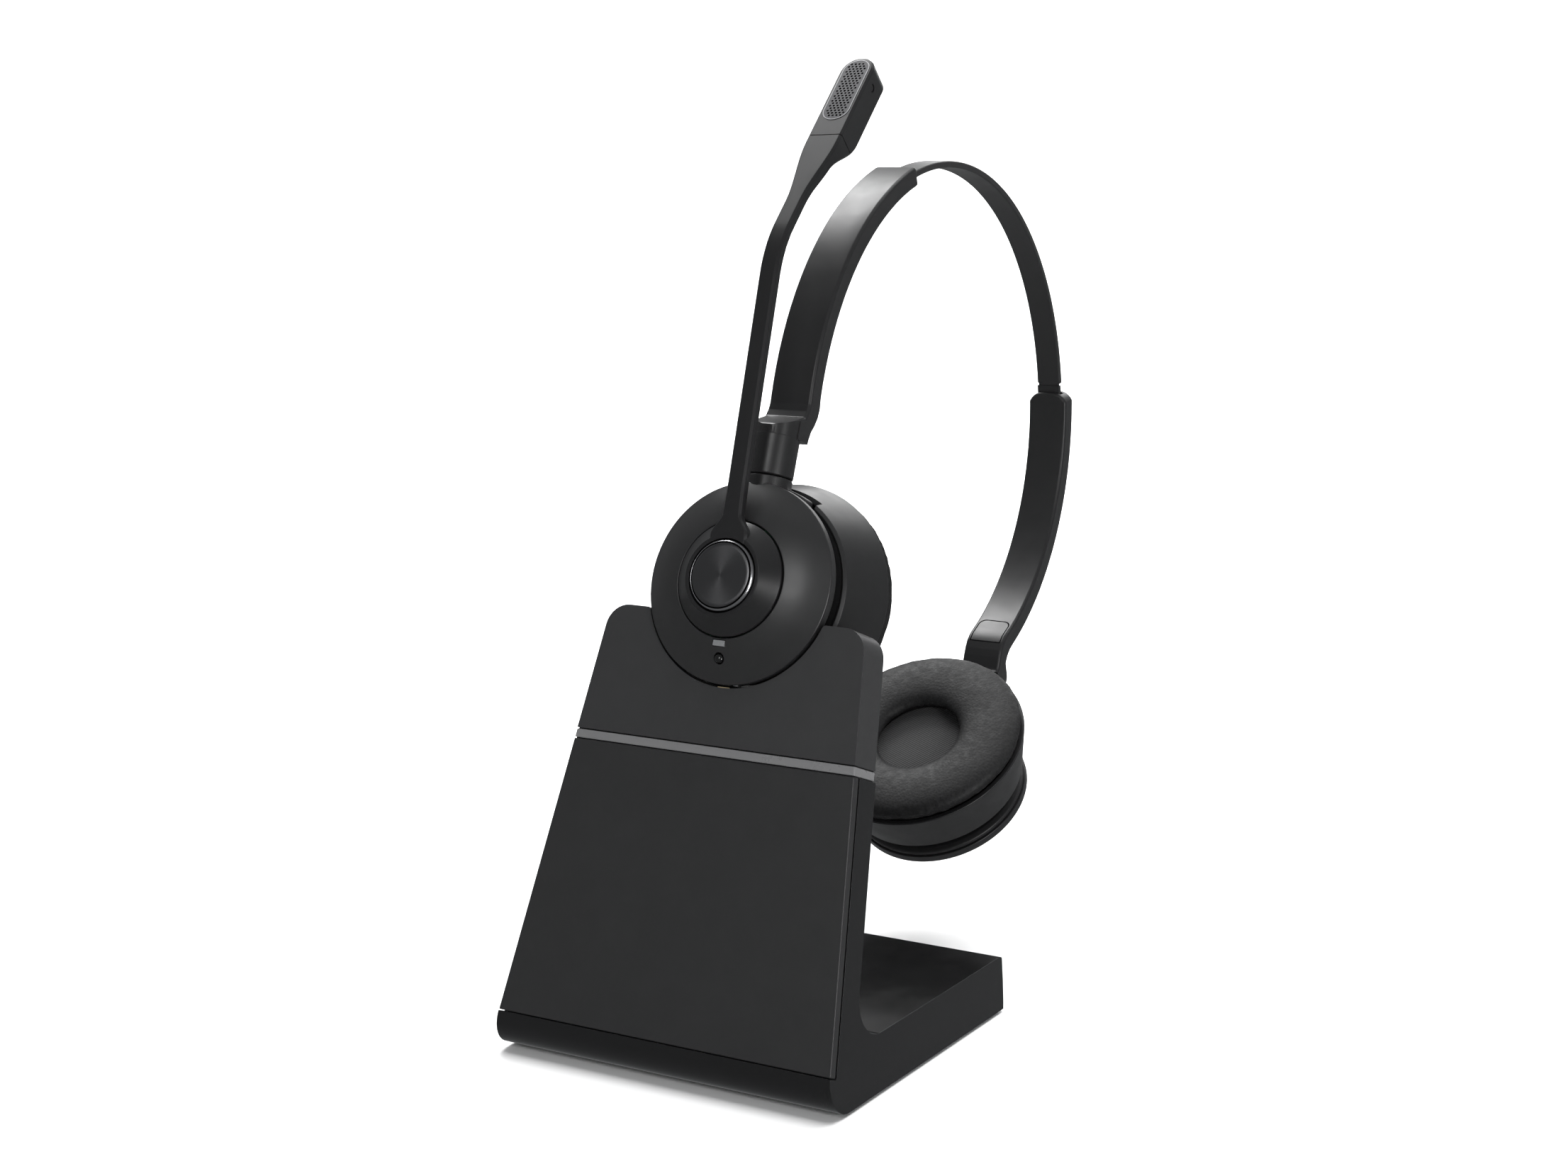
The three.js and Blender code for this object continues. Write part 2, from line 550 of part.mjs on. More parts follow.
// outer line of the bent part: a point at a distance along it and a depth in from its outer face
function bent(along, depth) {
  const [s, c] = [Math.sin(rad(boomBend)), Math.cos(rad(boomBend))];
  const y = boomFace + boomBendRadius * (1 - c) + along * s + depth * c;
  const z = bendStart + boomBendRadius * s + along * c - depth * s;
  return [y, z];
}
// the bend's arc, offset inward by a depth
function bendArc(depth) {
  return Array.from({ length: 5 }, (_, i) => {
    const angle = rad(boomBend * i / 4);
    const radius = boomBendRadius - depth;
    return [boomFace + boomBendRadius - radius * Math.cos(angle), bendStart + radius * Math.sin(angle)];
  });
}
const boomSide = [
  [boomFace, flatRadius - 1.6], ...bendArc(0), bent(seamAlong, 0),
  bent(tipAlong - 0.6, 0), bent(tipAlong, 0.6), bent(tipAlong, headDepth - 1.4),
  bent(tipAlong - 1.4, headDepth), bent(seamAlong + 4.5, headDepth), bent(seamAlong + 0.5, headDepth - 1.6),
  bent(seamAlong - 4.5, 4.9), bent(seamAlong - 9.5, boomDepth + 0.4), ...bendArc(boomDepth).reverse(),
  [boomFace + boomDepth, seamRadius + 1], [-seamRise - 1.2, flatRadius + 1.6],
  [-seamRise - 1.2, flatRadius - 1.6],
];
const tipTop = bent(tipAlong, 0)[1] + 3;
const seamTop = bent(seamAlong, 0)[1];
const boomFront = [
  [boomWidth / 2 + 3.2, flatRadius - 2], [boomWidth / 2 + 0.7, flatRadius + 3.2],
  [boomWidth / 2, flatRadius + 7],
  [boomWidth / 2, bendStart + 22], [headWidth / 2, seamTop - 2], [headWidth / 2, tipTop],
];
const mirrored = boomFront.map(([x, z]) => [-x, z]).reverse();
const wholeBoom = prism(boomSide, 'x', -10, 10).intersect(prism([...boomFront, ...mirrored], 'y', -30, 60));
// cut across at the seam, square to the bent part
const cutLine = (offset) => prism([bent(seamAlong + offset, -30), bent(seamAlong + offset + 90, -30),
  bent(seamAlong + offset + 90, 60), bent(seamAlong + offset, 60)], 'x', -20, 20);
const hubClear = post(bezelRadius + gap, -20, 0);
addPiece(boomFrame, 'boom_arm', wholeBoom.subtract(cutLine(-gap / 2)).subtract(hubClear).add(hub), satin);

// mic head: housing with a pocket under the grille, open at the side port
const grilleFrom = seamAlong + 6;
const grilleTo = tipAlong - 1.3;
const grilleHalf = 3.9;
function grilleOutline(inset) {
  const r = grilleHalf - inset;
  return [...arc(0, grilleFrom + grilleHalf, r, 180, 360, 8), ...arc(0, grilleTo - grilleHalf, r, 0, 180, 8)];
}
// a prism across the bent part's face: its outline is (x, along)
function onHead(outline, depth0, depth1) {
  const [y, z] = bent(0, 0);
  return prism(outline, 'y', depth0, depth1).rotate([-boomBend, 0, 0]).translate([0, y, z]);
}
const headHalf = headWidth / 2;
const headEnd = [[-headHalf, 0], [headHalf, 0], ...arc(0, tipAlong - headHalf, headHalf, 0, 180, 12)];
const head = wholeBoom.intersect(cutLine(gap / 2)).intersect(onHead(headEnd, -1, headDepth + 1))
  .subtract(onHead(grilleOutline(-0.15), -2, 5.2))
  .subtract(onHead(roundedBox(1.5, 8, tipAlong - 10.2, tipAlong - 7.8, 0.3, 1), 2.8, 3.6));
addPiece(boomFrame, 'mic_housing', head, satin);
addPiece(boomFrame, 'mic_grille', onHead(grilleOutline(gap - 0.1), -0.1, 0.6), brushed);
const capsule = post(2.3, 1.2, 4.2, 16).rotate([-boomBend, 0, 0]);
const capsulePlace = (along) => {
  const [y, z] = bent(along, 0);
  return [0, y, z];
};
addPiece(boomFrame, 'mic_capsule', capsule.translate(capsulePlace(grilleTo - 6)), steel);
addPiece(boomFrame, 'rear_mic_capsule', capsule.translate(capsulePlace(grilleFrom + 5)), steel);

// ---------------------------------------------------------------- head band
// a stretch of a ring about a centre in the (y, z) plane; angles run from the top towards +y
function ringSector(centre, inner, outer, from, to, halfWidth) {
  const steps = Math.max(2, Math.ceil(Math.abs(to - from) / 4));
  const at = (radius, i) => {
    const angle = rad(from + (to - from) * i / steps);
    return [centre.y + radius * Math.sin(angle), centre.z + radius * Math.cos(angle)];
  };
  const count = Array.from({ length: steps + 1 }, (_, i) => i);
  const outline = [...count.map((i) => at(outer, i)), ...count.reverse().map((i) => at(inner, i))];
  return prism(outline, 'x', -halfWidth, halfWidth);
}

// arms: the arc's centre from the band's, its outer radius beyond the band's, its thickness, and the
// angles of its elbow and its mouth above the level of its centre
const leftArm = {
  centre: bandCentre, shift: [-1.1, -1.8], over: 3.3, depth: 5.6, elbow: -4.2, mouth: 53.6,
};
const rightArm = {
  centre: rightCentre, shift: [-2.7, 7.4], over: -5.2, depth: 5.9, elbow: -9.7, mouth: 58.6,
};

// a point on an arm's arc, in from its outer face
function onArm({ centre, shift, over }, inset, angle) {
  const radius = bandOuter + over - inset;
  const [out, up] = [radius * Math.cos(rad(angle)), radius * Math.sin(rad(angle))];
  return [centre.y + shift[0] - out, centre.z + shift[1] + up];
}

// inner edge of the elbow, from the arc down towards the neck
function innerElbow(spec) {
  const [y, z] = onArm(spec, spec.depth, spec.elbow);
  return [[y, z], [y + 0.5, z - 3], [y + 0.2, z - 5.6]];
}

// arm from its mouth down to the neck, in its cup's frame
function arm(spec, slots) {
  const steps = 12;
  const step = (spec.mouth - spec.elbow) / steps;
  const angles = Array.from({ length: steps + 1 }, (_, i) => spec.elbow + step * i);
  const [front, back] = [neckDepth - neckRadius, neckDepth + neckRadius];
  const [startY, startZ] = onArm(spec, spec.depth, spec.elbow);
  const [outerY] = onArm(spec, 0, spec.elbow);
  const outline = [
    ...angles.map((angle) => onArm(spec, 0, angle)),
    ...angles.reverse().map((angle) => onArm(spec, spec.depth, angle)),
    ...innerElbow(spec).slice(1), [startY - 0.8, startZ - 8], [startY - 2, startZ - 10],
    [back, neckTop + 0.5], [back, neckTop - 0.4], [front, neckTop - 0.4],
    [front, neckTop + 0.5], [outerY - 1, neckTop + 6], [outerY - 0.1, neckTop + 8],
    [outerY + 0.2, neckTop + 10],
  ];
  const corner = block(-20, 20, -10, neckDepth, neckTop - 5, neckTop + 7.4)
    .subtract(upright(neckRadius + 0.2, 0, neckDepth, neckBottom, neckTop + 20, 28));
  const neck = upright(neckRadius, 0, neckDepth, neckBottom, neckTop, 28);
  const whole = prism(outline, 'x', -armWidth / 2, armWidth / 2).subtract(corner).add(neck);
  return [...slots, swivelBore()].reduce((body, cut) => body.subtract(cut), whole);
}

// cover let into the arm's inner face above the neck; the same outline, grown, cuts its recess
function armCover(spec, grow = 0) {
  const edge = [onArm(spec, spec.depth, spec.elbow + 3), ...innerElbow(spec)];
  const last = edge.length - 1;
  const stretch = ([y, z], i) => [y, z + (i === 0 ? grow : 0) - (i === last ? grow : 0)];
  const outer = edge.map(stretch).map(([y, z]) => [y + (grow ? 1 : 0), z]);
  const inner = edge.map(stretch).map(([y, z]) => [y - coverDepth - grow, z]);
  const half = armWidth / 2 - coverMargin + grow;
  return prism([...outer, ...inner.reverse()], 'x', -half, half);
}

const [tongueHalf, bandHalf] = [tongueWidth / 2, bandWidth / 2];
const leftSlots = [
  ringSector(bandCentre, bandOuter - tongueDepth - gap, bandOuter + gap, leftMouth - leftTongue - 0.6,
    leftMouth + 12, tongueHalf + gap),
  armCover(leftArm, gap),
];
const rightEntry = rightTilt - rightMouth;
const rightSlots = [
  ringSector(rightCentre, bandInner - gap, bandOuter + gap, rightEntry - rightRetract - 0.8, rightEntry + 12,
    bandHalf + gap),
  ringSector(rightCentre, bandInner - gap, bandInner + tongueDepth + gap,
    rightEntry - rightTongue - rightRetract - 0.8, rightEntry, tongueHalf + gap),
  armCover(rightArm, gap),
];
addPiece(leftFrame, 'left_arm', arm(leftArm, leftSlots), satin);
addPiece(leftFrame, 'left_arm_cover', armCover(leftArm), satin);
addPiece(rightFrame, 'right_arm', arm(rightArm, rightSlots), satin);
addPiece(rightFrame, 'right_arm_cover', armCover(rightArm), satin);

// band with its two hidden tongues; its ends stop just short of the arms' mouths
const mouthGap = 0.35;
const leftTongueBar = ringSector(bandCentre, bandOuter - tongueDepth, bandOuter, leftMouth - leftTongue,
  leftMouth + 2, tongueHalf);
const rightTongueBar = ringSector(bandCentre, bandInner, bandInner + tongueDepth, rightMouth - 2,
  rightMouth + rightTongue, tongueHalf);
const band = ringSector(bandCentre, bandInner, bandOuter, leftMouth + mouthGap, rightMouth - mouthGap,
  bandHalf).add(leftTongueBar).add(rightTongueBar);
addPiece(leftFrame, 'head_band', band, satin);

export default headsetDock;
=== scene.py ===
"""Stereo office headset docked on its leaning charging stand: detailed surfaces, materials and studio."""
import math
import json

import bmesh
import bpy
import numpy as np
from mathutils import Matrix, Vector


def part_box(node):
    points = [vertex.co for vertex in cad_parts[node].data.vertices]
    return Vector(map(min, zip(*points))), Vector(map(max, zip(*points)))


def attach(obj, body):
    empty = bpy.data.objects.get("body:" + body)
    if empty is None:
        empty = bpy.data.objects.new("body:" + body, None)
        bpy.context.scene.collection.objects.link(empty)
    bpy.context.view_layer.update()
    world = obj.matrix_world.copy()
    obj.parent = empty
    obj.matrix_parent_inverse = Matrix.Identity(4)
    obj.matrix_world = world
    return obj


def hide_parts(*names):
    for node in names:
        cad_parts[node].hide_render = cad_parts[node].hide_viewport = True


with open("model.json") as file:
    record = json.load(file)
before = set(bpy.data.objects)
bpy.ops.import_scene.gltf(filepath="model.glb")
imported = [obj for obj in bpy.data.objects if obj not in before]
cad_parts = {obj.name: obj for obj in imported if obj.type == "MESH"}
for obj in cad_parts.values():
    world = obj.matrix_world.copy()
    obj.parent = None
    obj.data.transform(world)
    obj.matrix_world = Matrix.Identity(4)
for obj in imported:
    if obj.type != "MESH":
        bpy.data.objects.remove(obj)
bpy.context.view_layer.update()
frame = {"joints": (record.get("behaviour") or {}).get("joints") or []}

bl_info = {
    "name": "Office headset on charging stand",
    "version": (1, 0, 0),
    "blender": (4, 5, 0),
    "location": "3D View > Sidebar > Headset",
    "description": "Builds a wireless office headset and its desk charging stand",
    "category": "Object",
}

MM = 0.001
JOINTS = {joint["name"]: joint for joint in frame["joints"]}
BALL_DEPTH = 8.6        # from a cup's panel plane to the ball that its ear shell tilts on, in mm
GAP = 0.3               # clearance between fitted parts, in mm
SEAM_RISE = 5.9         # height of a disc's dome at the hub's seam
PAIRING_DROP = -20.6    # pairing button from the disc's centre
BAND_MOUTHS = (-37.6, 61.8)     # angles where the band enters its left and right arms
GRILLE_HALF = 3.72      # half widths of the grille, its rim's inside and outside, and its pocket
RIM_INSIDE, RIM_OUTSIDE, POCKET_HALF = 3.76, 4.0, 4.05
ROW_OFFSET = 40.25      # keeps the number of a row of holes above zero
SWELL_FRAMES, MOST_SWELL = 20, 0.6      # cushion's simulated frames, and how far a point may move, in mm


# ---------------------------------------------------------------- sizes and colours
def length_property(name, millimetres, description):
    return bpy.props.FloatProperty(name=name, default=millimetres * MM, min=0, precision=4,
                                   unit="LENGTH", description=description)


def colour_property(name, colour, description):
    return bpy.props.FloatVectorProperty(name=name, default=colour, size=3, min=0, max=1,
                                         subtype="COLOR", description=description)


class HeadsetStandSizes(bpy.types.PropertyGroup):
    """Sizes of the charging stand"""
    cup_height: length_property("Cup height", 119.3, "Docked cup's centre above the panel's lower seam")
    panel_length: length_property("Panel length", 110.7, "Front panel along its slope")
    seam_half_width: length_property("Seam half width", 50, "Half width at the panel's lower seam")
    top_half_width: length_property("Top half width", 38.4, "Half width at the panel's top edge")
    top_corner: length_property("Top corner", 6.5, "Corner radius of the panel's top edge")
    slab_depth: length_property("Slab depth", 11.3, "Thickness of the leaning slab")
    plate_depth: length_property("Plate depth", 2.7, "Thickness of the lower front plate")
    strip_bottom: length_property("Strip bottom", 74.0, "Lower edge of the accent strip on the slope")
    strip_top: length_property("Strip top", 76.6, "Upper edge of the accent strip on the slope")
    foot_length: length_property("Foot length", 98, "Front seam to the back of the foot")
    foot_height: length_property("Foot height", 15.4, "Top of the foot above the desk")
    nose_radius: length_property("Nose radius", 8, "Rounded front edge under the panel")
    heel_fillet: length_property("Heel fillet", 9, "Fillet between the slab and the foot")
    cradle_radius: length_property("Cradle radius", 27.6, "Round cut-out for the docked cup")


class HeadsetCupSizes(bpy.types.PropertyGroup):
    """Sizes of the ear cups"""
    disc_radius: length_property("Disc radius", 26.9, "Outer disc of each cup")
    seam_radius: length_property("Hub seam radius", 15.5, "Seam between the disc and the hub")
    flat_radius: length_property("Hub flat radius", 10.8, "Edge of the hub's flat ring")
    bezel_radius: length_property("Bezel radius", 9.5, "Outside of the bright ring")
    button_radius: length_property("Button radius", 8.5, "Call button")
    shell_near: length_property("Shell near edge", 6.4, "Ear shell's edge behind the panel plane")
    shell_far: length_property("Shell open edge", 22.4, "Ear shell's open edge")
    shell_near_radius: length_property("Shell near radius", 27.3, "Ear shell's smaller radius")
    shell_far_radius: length_property("Shell open radius", 31.8, "Ear shell's larger radius")
    cushion_radius: length_property("Cushion radius", 32.2, "Outside of the cushion")
    cushion_hole: length_property("Cushion hole", 11.6, "Radius of the hole in the cushion")
    cushion_face: length_property("Cushion face", 28.8, "Crown of the cushion from the panel plane")


class HeadsetBandSizes(bpy.types.PropertyGroup):
    """Sizes of the head band, its arms and the boom"""
    band_outer: length_property("Band radius", 82.8, "Outer radius of the band's arc")
    band_depth: length_property("Band thickness", 2.0, "Thickness of the spring band")
    band_width: length_property("Band width", 7.8, "Width of the spring band")
    arm_width: length_property("Arm width", 12.8, "Width of both arms")
    neck_radius: length_property("Neck radius", 6.2, "Round neck under each arm")
    neck_depth: length_property("Neck depth", 4.8, "Neck axis behind the panel plane")
    boom_width: length_property("Boom width", 5.2, "Width of the boom's straight part")
    head_width: length_property("Microphone width", 10.4, "Width of the microphone housing")


class HeadsetColours(bpy.types.PropertyGroup):
    """Colours of the mouldings and the soft parts"""
    satin: colour_property("Satin black", (0.0105, 0.0105, 0.011), "Mouldings of the headset")
    plate: colour_property("Plate black", (0.0125, 0.0125, 0.013), "Front plates of the stand")
    gloss: colour_property("Polished black", (0.0035, 0.0035, 0.0037), "Stand body")
    accent: colour_property("Accent grey", (0.12, 0.12, 0.122), "Strip across the stand")
    metal: colour_property("Spun metal", (0.1, 0.1, 0.103), "Call button and ring")
    leather: colour_property("Leatherette", (0.0085, 0.0085, 0.0088), "Cushions")
    cloth: colour_property("Speaker cloth", (0.022, 0.022, 0.0225), "Cloth over the speakers")


def stand_size(name):
    """A size of the stand in millimetres."""
    return getattr(bpy.context.scene.headset_stand, name) / MM


def cup_size(name):
    """A size of the cups in millimetres."""
    return getattr(bpy.context.scene.headset_cups, name) / MM


def band_size(name):
    """A size of the band or the boom in millimetres."""
    return getattr(bpy.context.scene.headset_band, name) / MM


def colour(name):
    return tuple(getattr(bpy.context.scene.headset_colours, name)) + (1.0,)


# ---------------------------------------------------------------- places
def cup_place(swivel, tilt, side):
    """Millimetre frame of a cup: y from the disc towards the head, z up to the neck."""
    up = Vector(JOINTS[swivel]["axis"])
    across = Vector((side, 0, 0))
    inward = up.cross(across)
    place = Matrix((across, inward, up)).transposed().to_4x4()
    place.translation = Vector(JOINTS[tilt]["pos_m"]) - inward * BALL_DEPTH * MM
    return place @ Matrix.Scale(MM, 4)


LEFT = cup_place("left_swivel", "left_ear_tilt", 1)
RIGHT = cup_place("right_swivel", "right_ear_tilt", -1)
WORLD = Matrix.Scale(MM, 4)
SIDES = {"left": LEFT, "right": RIGHT}


def panel_place():
    """Millimetre frame of the front panel: z up the slope from its lower seam."""
    return LEFT @ Matrix.Translation((0, 0, -stand_size("cup_height")))


def in_frame(place, point):
    """A row-frame point, in metres, in a piece's own millimetre frame."""
    return place.inverted() @ Vector(point)


# ---------------------------------------------------------------- outlines
def arc(centre_a, centre_b, radius, start, end, steps):
    angles = [math.radians(start + (end - start) * i / steps) for i in range(steps + 1)]
    return [(centre_a + radius * math.cos(t), centre_b + radius * math.sin(t)) for t in angles]


def rounded(points, radius=0.0, steps=5, closed=True):
    """Outline with its corners rounded. A point may carry a corner radius of its own."""
    result = []
    count = len(points)
    for i, point in enumerate(points):
        here = Vector(point[:2])
        r = point[2] if len(point) > 2 else radius
        if r <= 0 or (not closed and i in (0, count - 1)):
            result.append((here.x, here.y))
            continue
        before = Vector(points[i - 1][:2]) - here
        after = Vector(points[(i + 1) % count][:2]) - here
        if before.length < 1e-6 or after.length < 1e-6:
            result.append((here.x, here.y))
            continue
        room = 0.49 * min(before.length, after.length)
        u, v = before.normalized(), after.normalized()
        half = math.acos(max(-1, min(1, u.dot(v)))) / 2
        if half > math.radians(88) or half < math.radians(2):
            result.append((here.x, here.y))
            continue
        reach = min(r / math.tan(half), room)
        r = reach * math.tan(half)
        middle = here + (u + v).normalized() * (r / math.sin(half))
        start, end = here + u * reach - middle, here + v * reach - middle
        sweep = math.atan2(start.x * end.y - start.y * end.x, start.dot(end))
        for k in range(steps + 1):
            t = sweep * k / steps
            result.append((middle.x + start.x * math.cos(t) - start.y * math.sin(t),
                           middle.y + start.x * math.sin(t) + start.y * math.cos(t)))
    return result


# ---------------------------------------------------------------- meshes
def to_object(name, mesh_work, place=WORLD):
    """Turns a bmesh in a millimetre frame into an object whose place is in its mesh."""
    bmesh.ops.remove_doubles(mesh_work, verts=mesh_work.verts, dist=1e-4)
    bmesh.ops.recalc_face_normals(mesh_work, faces=mesh_work.faces)
    bmesh.ops.transform(mesh_work, matrix=place, verts=mesh_work.verts)
    mesh = bpy.data.meshes.new(name)
    mesh_work.to_mesh(mesh)
    mesh_work.free()
    piece = bpy.data.objects.new(name, mesh)
    bpy.context.scene.collection.objects.link(piece)
    return piece


def turned(name, profile, place=WORLD, sides=128):
    """Solid of revolution about the frame's y axis. The profile lists (radius, y)."""
    work = bmesh.new()
    closed = all(r > 1e-6 for r, _ in profile)
    rings = []
    for r, y in profile:
        if r <= 1e-6:
            rings.append([work.verts.new((0, y, 0))])
        else:
            angles = [2 * math.pi * i / sides for i in range(sides)]
            rings.append([work.verts.new((r * math.sin(t), y, r * math.cos(t))) for t in angles])
    pairs = list(zip(rings, rings[1:]))
    if closed:
        pairs.append((rings[-1], rings[0]))
    for low, high in pairs:
        for i in range(sides):
            j = (i + 1) % sides
            corners = [low[i % len(low)], low[j % len(low)], high[j % len(high)], high[i % len(high)]]
            face = list(dict.fromkeys(corners))
            if len(face) > 2:
                work.faces.new(face)
    return to_object(name, work, place)


PLANES = {
    "x": lambda a, b, c: (c, a, b),
    "y": lambda a, b, c: (a, c, b),
    "z": lambda a, b, c: (a, b, c),
}


def prism(name, outline, axis, low, high, place=WORLD):
    """Outline in the plane across an axis, drawn out along that axis."""
    work = bmesh.new()
    spot = PLANES[axis]
    near = [work.verts.new(spot(a, b, low)) for a, b in outline]
    far = [work.verts.new(spot(a, b, high)) for a, b in outline]
    count = len(outline)
    for i in range(count):
        j = (i + 1) % count
        work.faces.new((near[i], near[j], far[j], far[i]))
    work.faces.new(near)
    work.faces.new(far)
    return to_object(name, work, place)


def block(name, low, high, place=WORLD):
    outline = [(low[0], low[1]), (high[0], low[1]), (high[0], high[1]), (low[0], high[1])]
    return prism(name, outline, "z", low[2], high[2], place)


def loft(name, sections, place=WORLD):
    """Skin over closed sections with equal numbers of points, capped at both ends."""
    work = bmesh.new()
    rings = [[work.verts.new(point) for point in section] for section in sections]
    count = len(sections[0])
    for low, high in zip(rings, rings[1:]):
        for i in range(count):
            j = (i + 1) % count
            work.faces.new((low[i], low[j], high[j], high[i]))
    work.faces.new(rings[0])
    work.faces.new(rings[-1])
    return to_object(name, work, place)


def settle(piece):
    """Applies a piece's modifiers to its mesh."""
    bpy.context.view_layer.update()
    evaluated = piece.evaluated_get(bpy.context.evaluated_depsgraph_get())
    mesh = bpy.data.meshes.new_from_object(evaluated, preserve_all_data_layers=True,
                                           depsgraph=bpy.context.evaluated_depsgraph_get())
    piece.modifiers.clear()
    piece.data = mesh
    return piece


def join_shape(piece, tools, operation="DIFFERENCE"):
    """Cuts, joins or trims a piece with others, which are then removed."""
    for tool in tools:
        step = piece.modifiers.new("cut", "BOOLEAN")
        step.operation = operation
        step.solver = "EXACT"
        step.object = tool
        settle(piece)
        bpy.data.objects.remove(tool)
    return piece


def soften(piece, width, segments=3, angle=32, smooth=38):
    """Rounds a piece's edges and shades it smooth across them. The width is in millimetres."""
    if width > 0:
        step = piece.modifiers.new("edges", "BEVEL")
        step.width = width * MM
        step.segments = segments
        step.limit_method = "ANGLE"
        step.angle_limit = math.radians(angle)
        step.miter_outer = "MITER_ARC"
        step.use_clamp_overlap = True
        settle(piece)
    piece.data.shade_smooth()
    piece.data.set_sharp_from_angle(angle=math.radians(smooth))
    step = piece.modifiers.new("normals", "WEIGHTED_NORMAL")
    step.keep_sharp = True
    return settle(piece)


def seat(piece, body, material, replaces=()):
    """Gives a piece its material, the body it rides on and the solids it stands for."""
    piece.data.materials.clear()
    piece.data.materials.append(material)
    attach(piece, body)
    if replaces:
        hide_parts(*replaces)
    return piece


# ---------------------------------------------------------------- materials
class Shader:
    """Small helper round one material's node tree."""

    def __init__(self, name):
        self.material = bpy.data.materials.new(name)
        self.material.use_nodes = True
        self.nodes = self.material.node_tree.nodes
        self.links = self.material.node_tree.links
        self.surface = self.nodes["Principled BSDF"]
        self.place = self.nodes.new("ShaderNodeTexCoord").outputs["Object"]

    def add(self, kind, **values):
        node = self.nodes.new(kind)
        for key, value in values.items():
            if key in node.inputs:
                node.inputs[key].default_value = value
            else:
                setattr(node, key, value)
        return node

    def link(self, source, target):
        self.links.new(source, target)

    def set(self, **values):
        for key, value in values.items():
            self.surface.inputs[key.replace("_", " ")].default_value = value

    def mapped(self, matrix):
        """Object coordinates in a millimetre frame of the piece's own."""
        inverse = matrix.inverted()
        node = self.add("ShaderNodeMapping")
        node.vector_type = "POINT"
        place, turn, scale = inverse.decompose()
        node.inputs["Location"].default_value = place
        node.inputs["Rotation"].default_value = turn.to_euler()
        node.inputs["Scale"].default_value = scale
        self.link(self.place, node.inputs["Vector"])
        return node.outputs["Vector"]

    def noise(self, scale, detail=3.0, roughness=0.55, vector=None):
        node = self.add("ShaderNodeTexNoise", Scale=scale, Detail=detail, Roughness=roughness)
        self.link(vector or self.place, node.inputs["Vector"])
        return node.outputs["Fac"]

    def spread(self, value, low, high, from_low=0.0, from_high=1.0):
        node = self.add("ShaderNodeMapRange")
        node.inputs["From Min"].default_value = from_low
        node.inputs["From Max"].default_value = from_high
        node.inputs["To Min"].default_value = low
        node.inputs["To Max"].default_value = high
        self.link(value, node.inputs["Value"])
        return node.outputs["Result"]

    def tint(self, value, base, change):
        """Base colour that drifts a little with a texture."""
        node = self.add("ShaderNodeMix", data_type="RGBA")
        darker = tuple(c * (1 - change) for c in base[:3]) + (1,)
        lighter = tuple(min(1, c * (1 + change)) for c in base[:3]) + (1,)
        node.inputs[6].default_value = darker
        node.inputs[7].default_value = lighter
        self.link(value, node.inputs[0])
        self.link(node.outputs[2], self.surface.inputs["Base Color"])

    def bump(self, height, strength, distance, normal=None):
        node = self.add("ShaderNodeBump", Strength=strength, Distance=distance)
        self.link(height, node.inputs["Height"])
        if normal is not None:
            self.link(normal, node.inputs["Normal"])
        self.link(node.outputs["Normal"], self.surface.inputs["Normal"])
        return node.outputs["Normal"]


def moulded(name, base, roughness, grain=0.25, grain_size=0.25, drift=0.08, specular=0.5):
    """Moulded plastic: fine spark-eroded grain, a slight drift of colour and of gloss."""
    shader = Shader(name)
    shader.tint(shader.noise(60), base, drift)
    gloss = shader.spread(shader.noise(140, 4), roughness - 0.035, roughness + 0.035, 0.3, 0.7)
    shader.link(gloss, shader.surface.inputs["Roughness"])
    shader.bump(shader.noise(1 / (grain_size * MM), 2), grain, 0.02 * MM)
    shader.set(Specular_IOR_Level=specular)
    return shader.material


def polished(name, base, roughness=0.16):
    """Polished black moulding with faint handling marks."""
    shader = Shader(name)
    shader.tint(shader.noise(30), base, 0.1)
    marks = shader.spread(shader.noise(90, 6, 0.7), roughness, roughness + 0.07, 0.45, 0.75)
    shader.link(marks, shader.surface.inputs["Roughness"])
    shader.bump(shader.noise(900, 3), 0.05, 0.02 * MM)
    shader.set(Specular_IOR_Level=0.45)
    return shader.material


def spun(name, base, place, roughness=0.3, anisotropy=0.75):
    """Lathe-turned metal: fine rings about the cup's axis."""
    shader = Shader(name)
    own = shader.mapped(place)
    flat = shader.add("ShaderNodeVectorMath", operation="MULTIPLY")
    flat.inputs[1].default_value = (1, 0, 1)
    shader.link(own, flat.inputs[0])
    size = shader.add("ShaderNodeVectorMath", operation="LENGTH")
    shader.link(flat.outputs["Vector"], size.inputs[0])
    rings = shader.add("ShaderNodeTexNoise", noise_dimensions="1D", Scale=9.0, Detail=3.0)
    shader.link(size.outputs["Value"], rings.inputs["W"])
    shader.tint(rings.outputs["Fac"], base, 0.12)
    shader.bump(rings.outputs["Fac"], 0.6, 0.02 * MM)
    tangent = shader.add("ShaderNodeTangent", direction_type="UV_MAP", uv_map="turning")
    shader.link(tangent.outputs["Tangent"], shader.surface.inputs["Tangent"])
    shader.set(Metallic=1.0, Roughness=roughness, Anisotropic=anisotropy)
    return shader.material


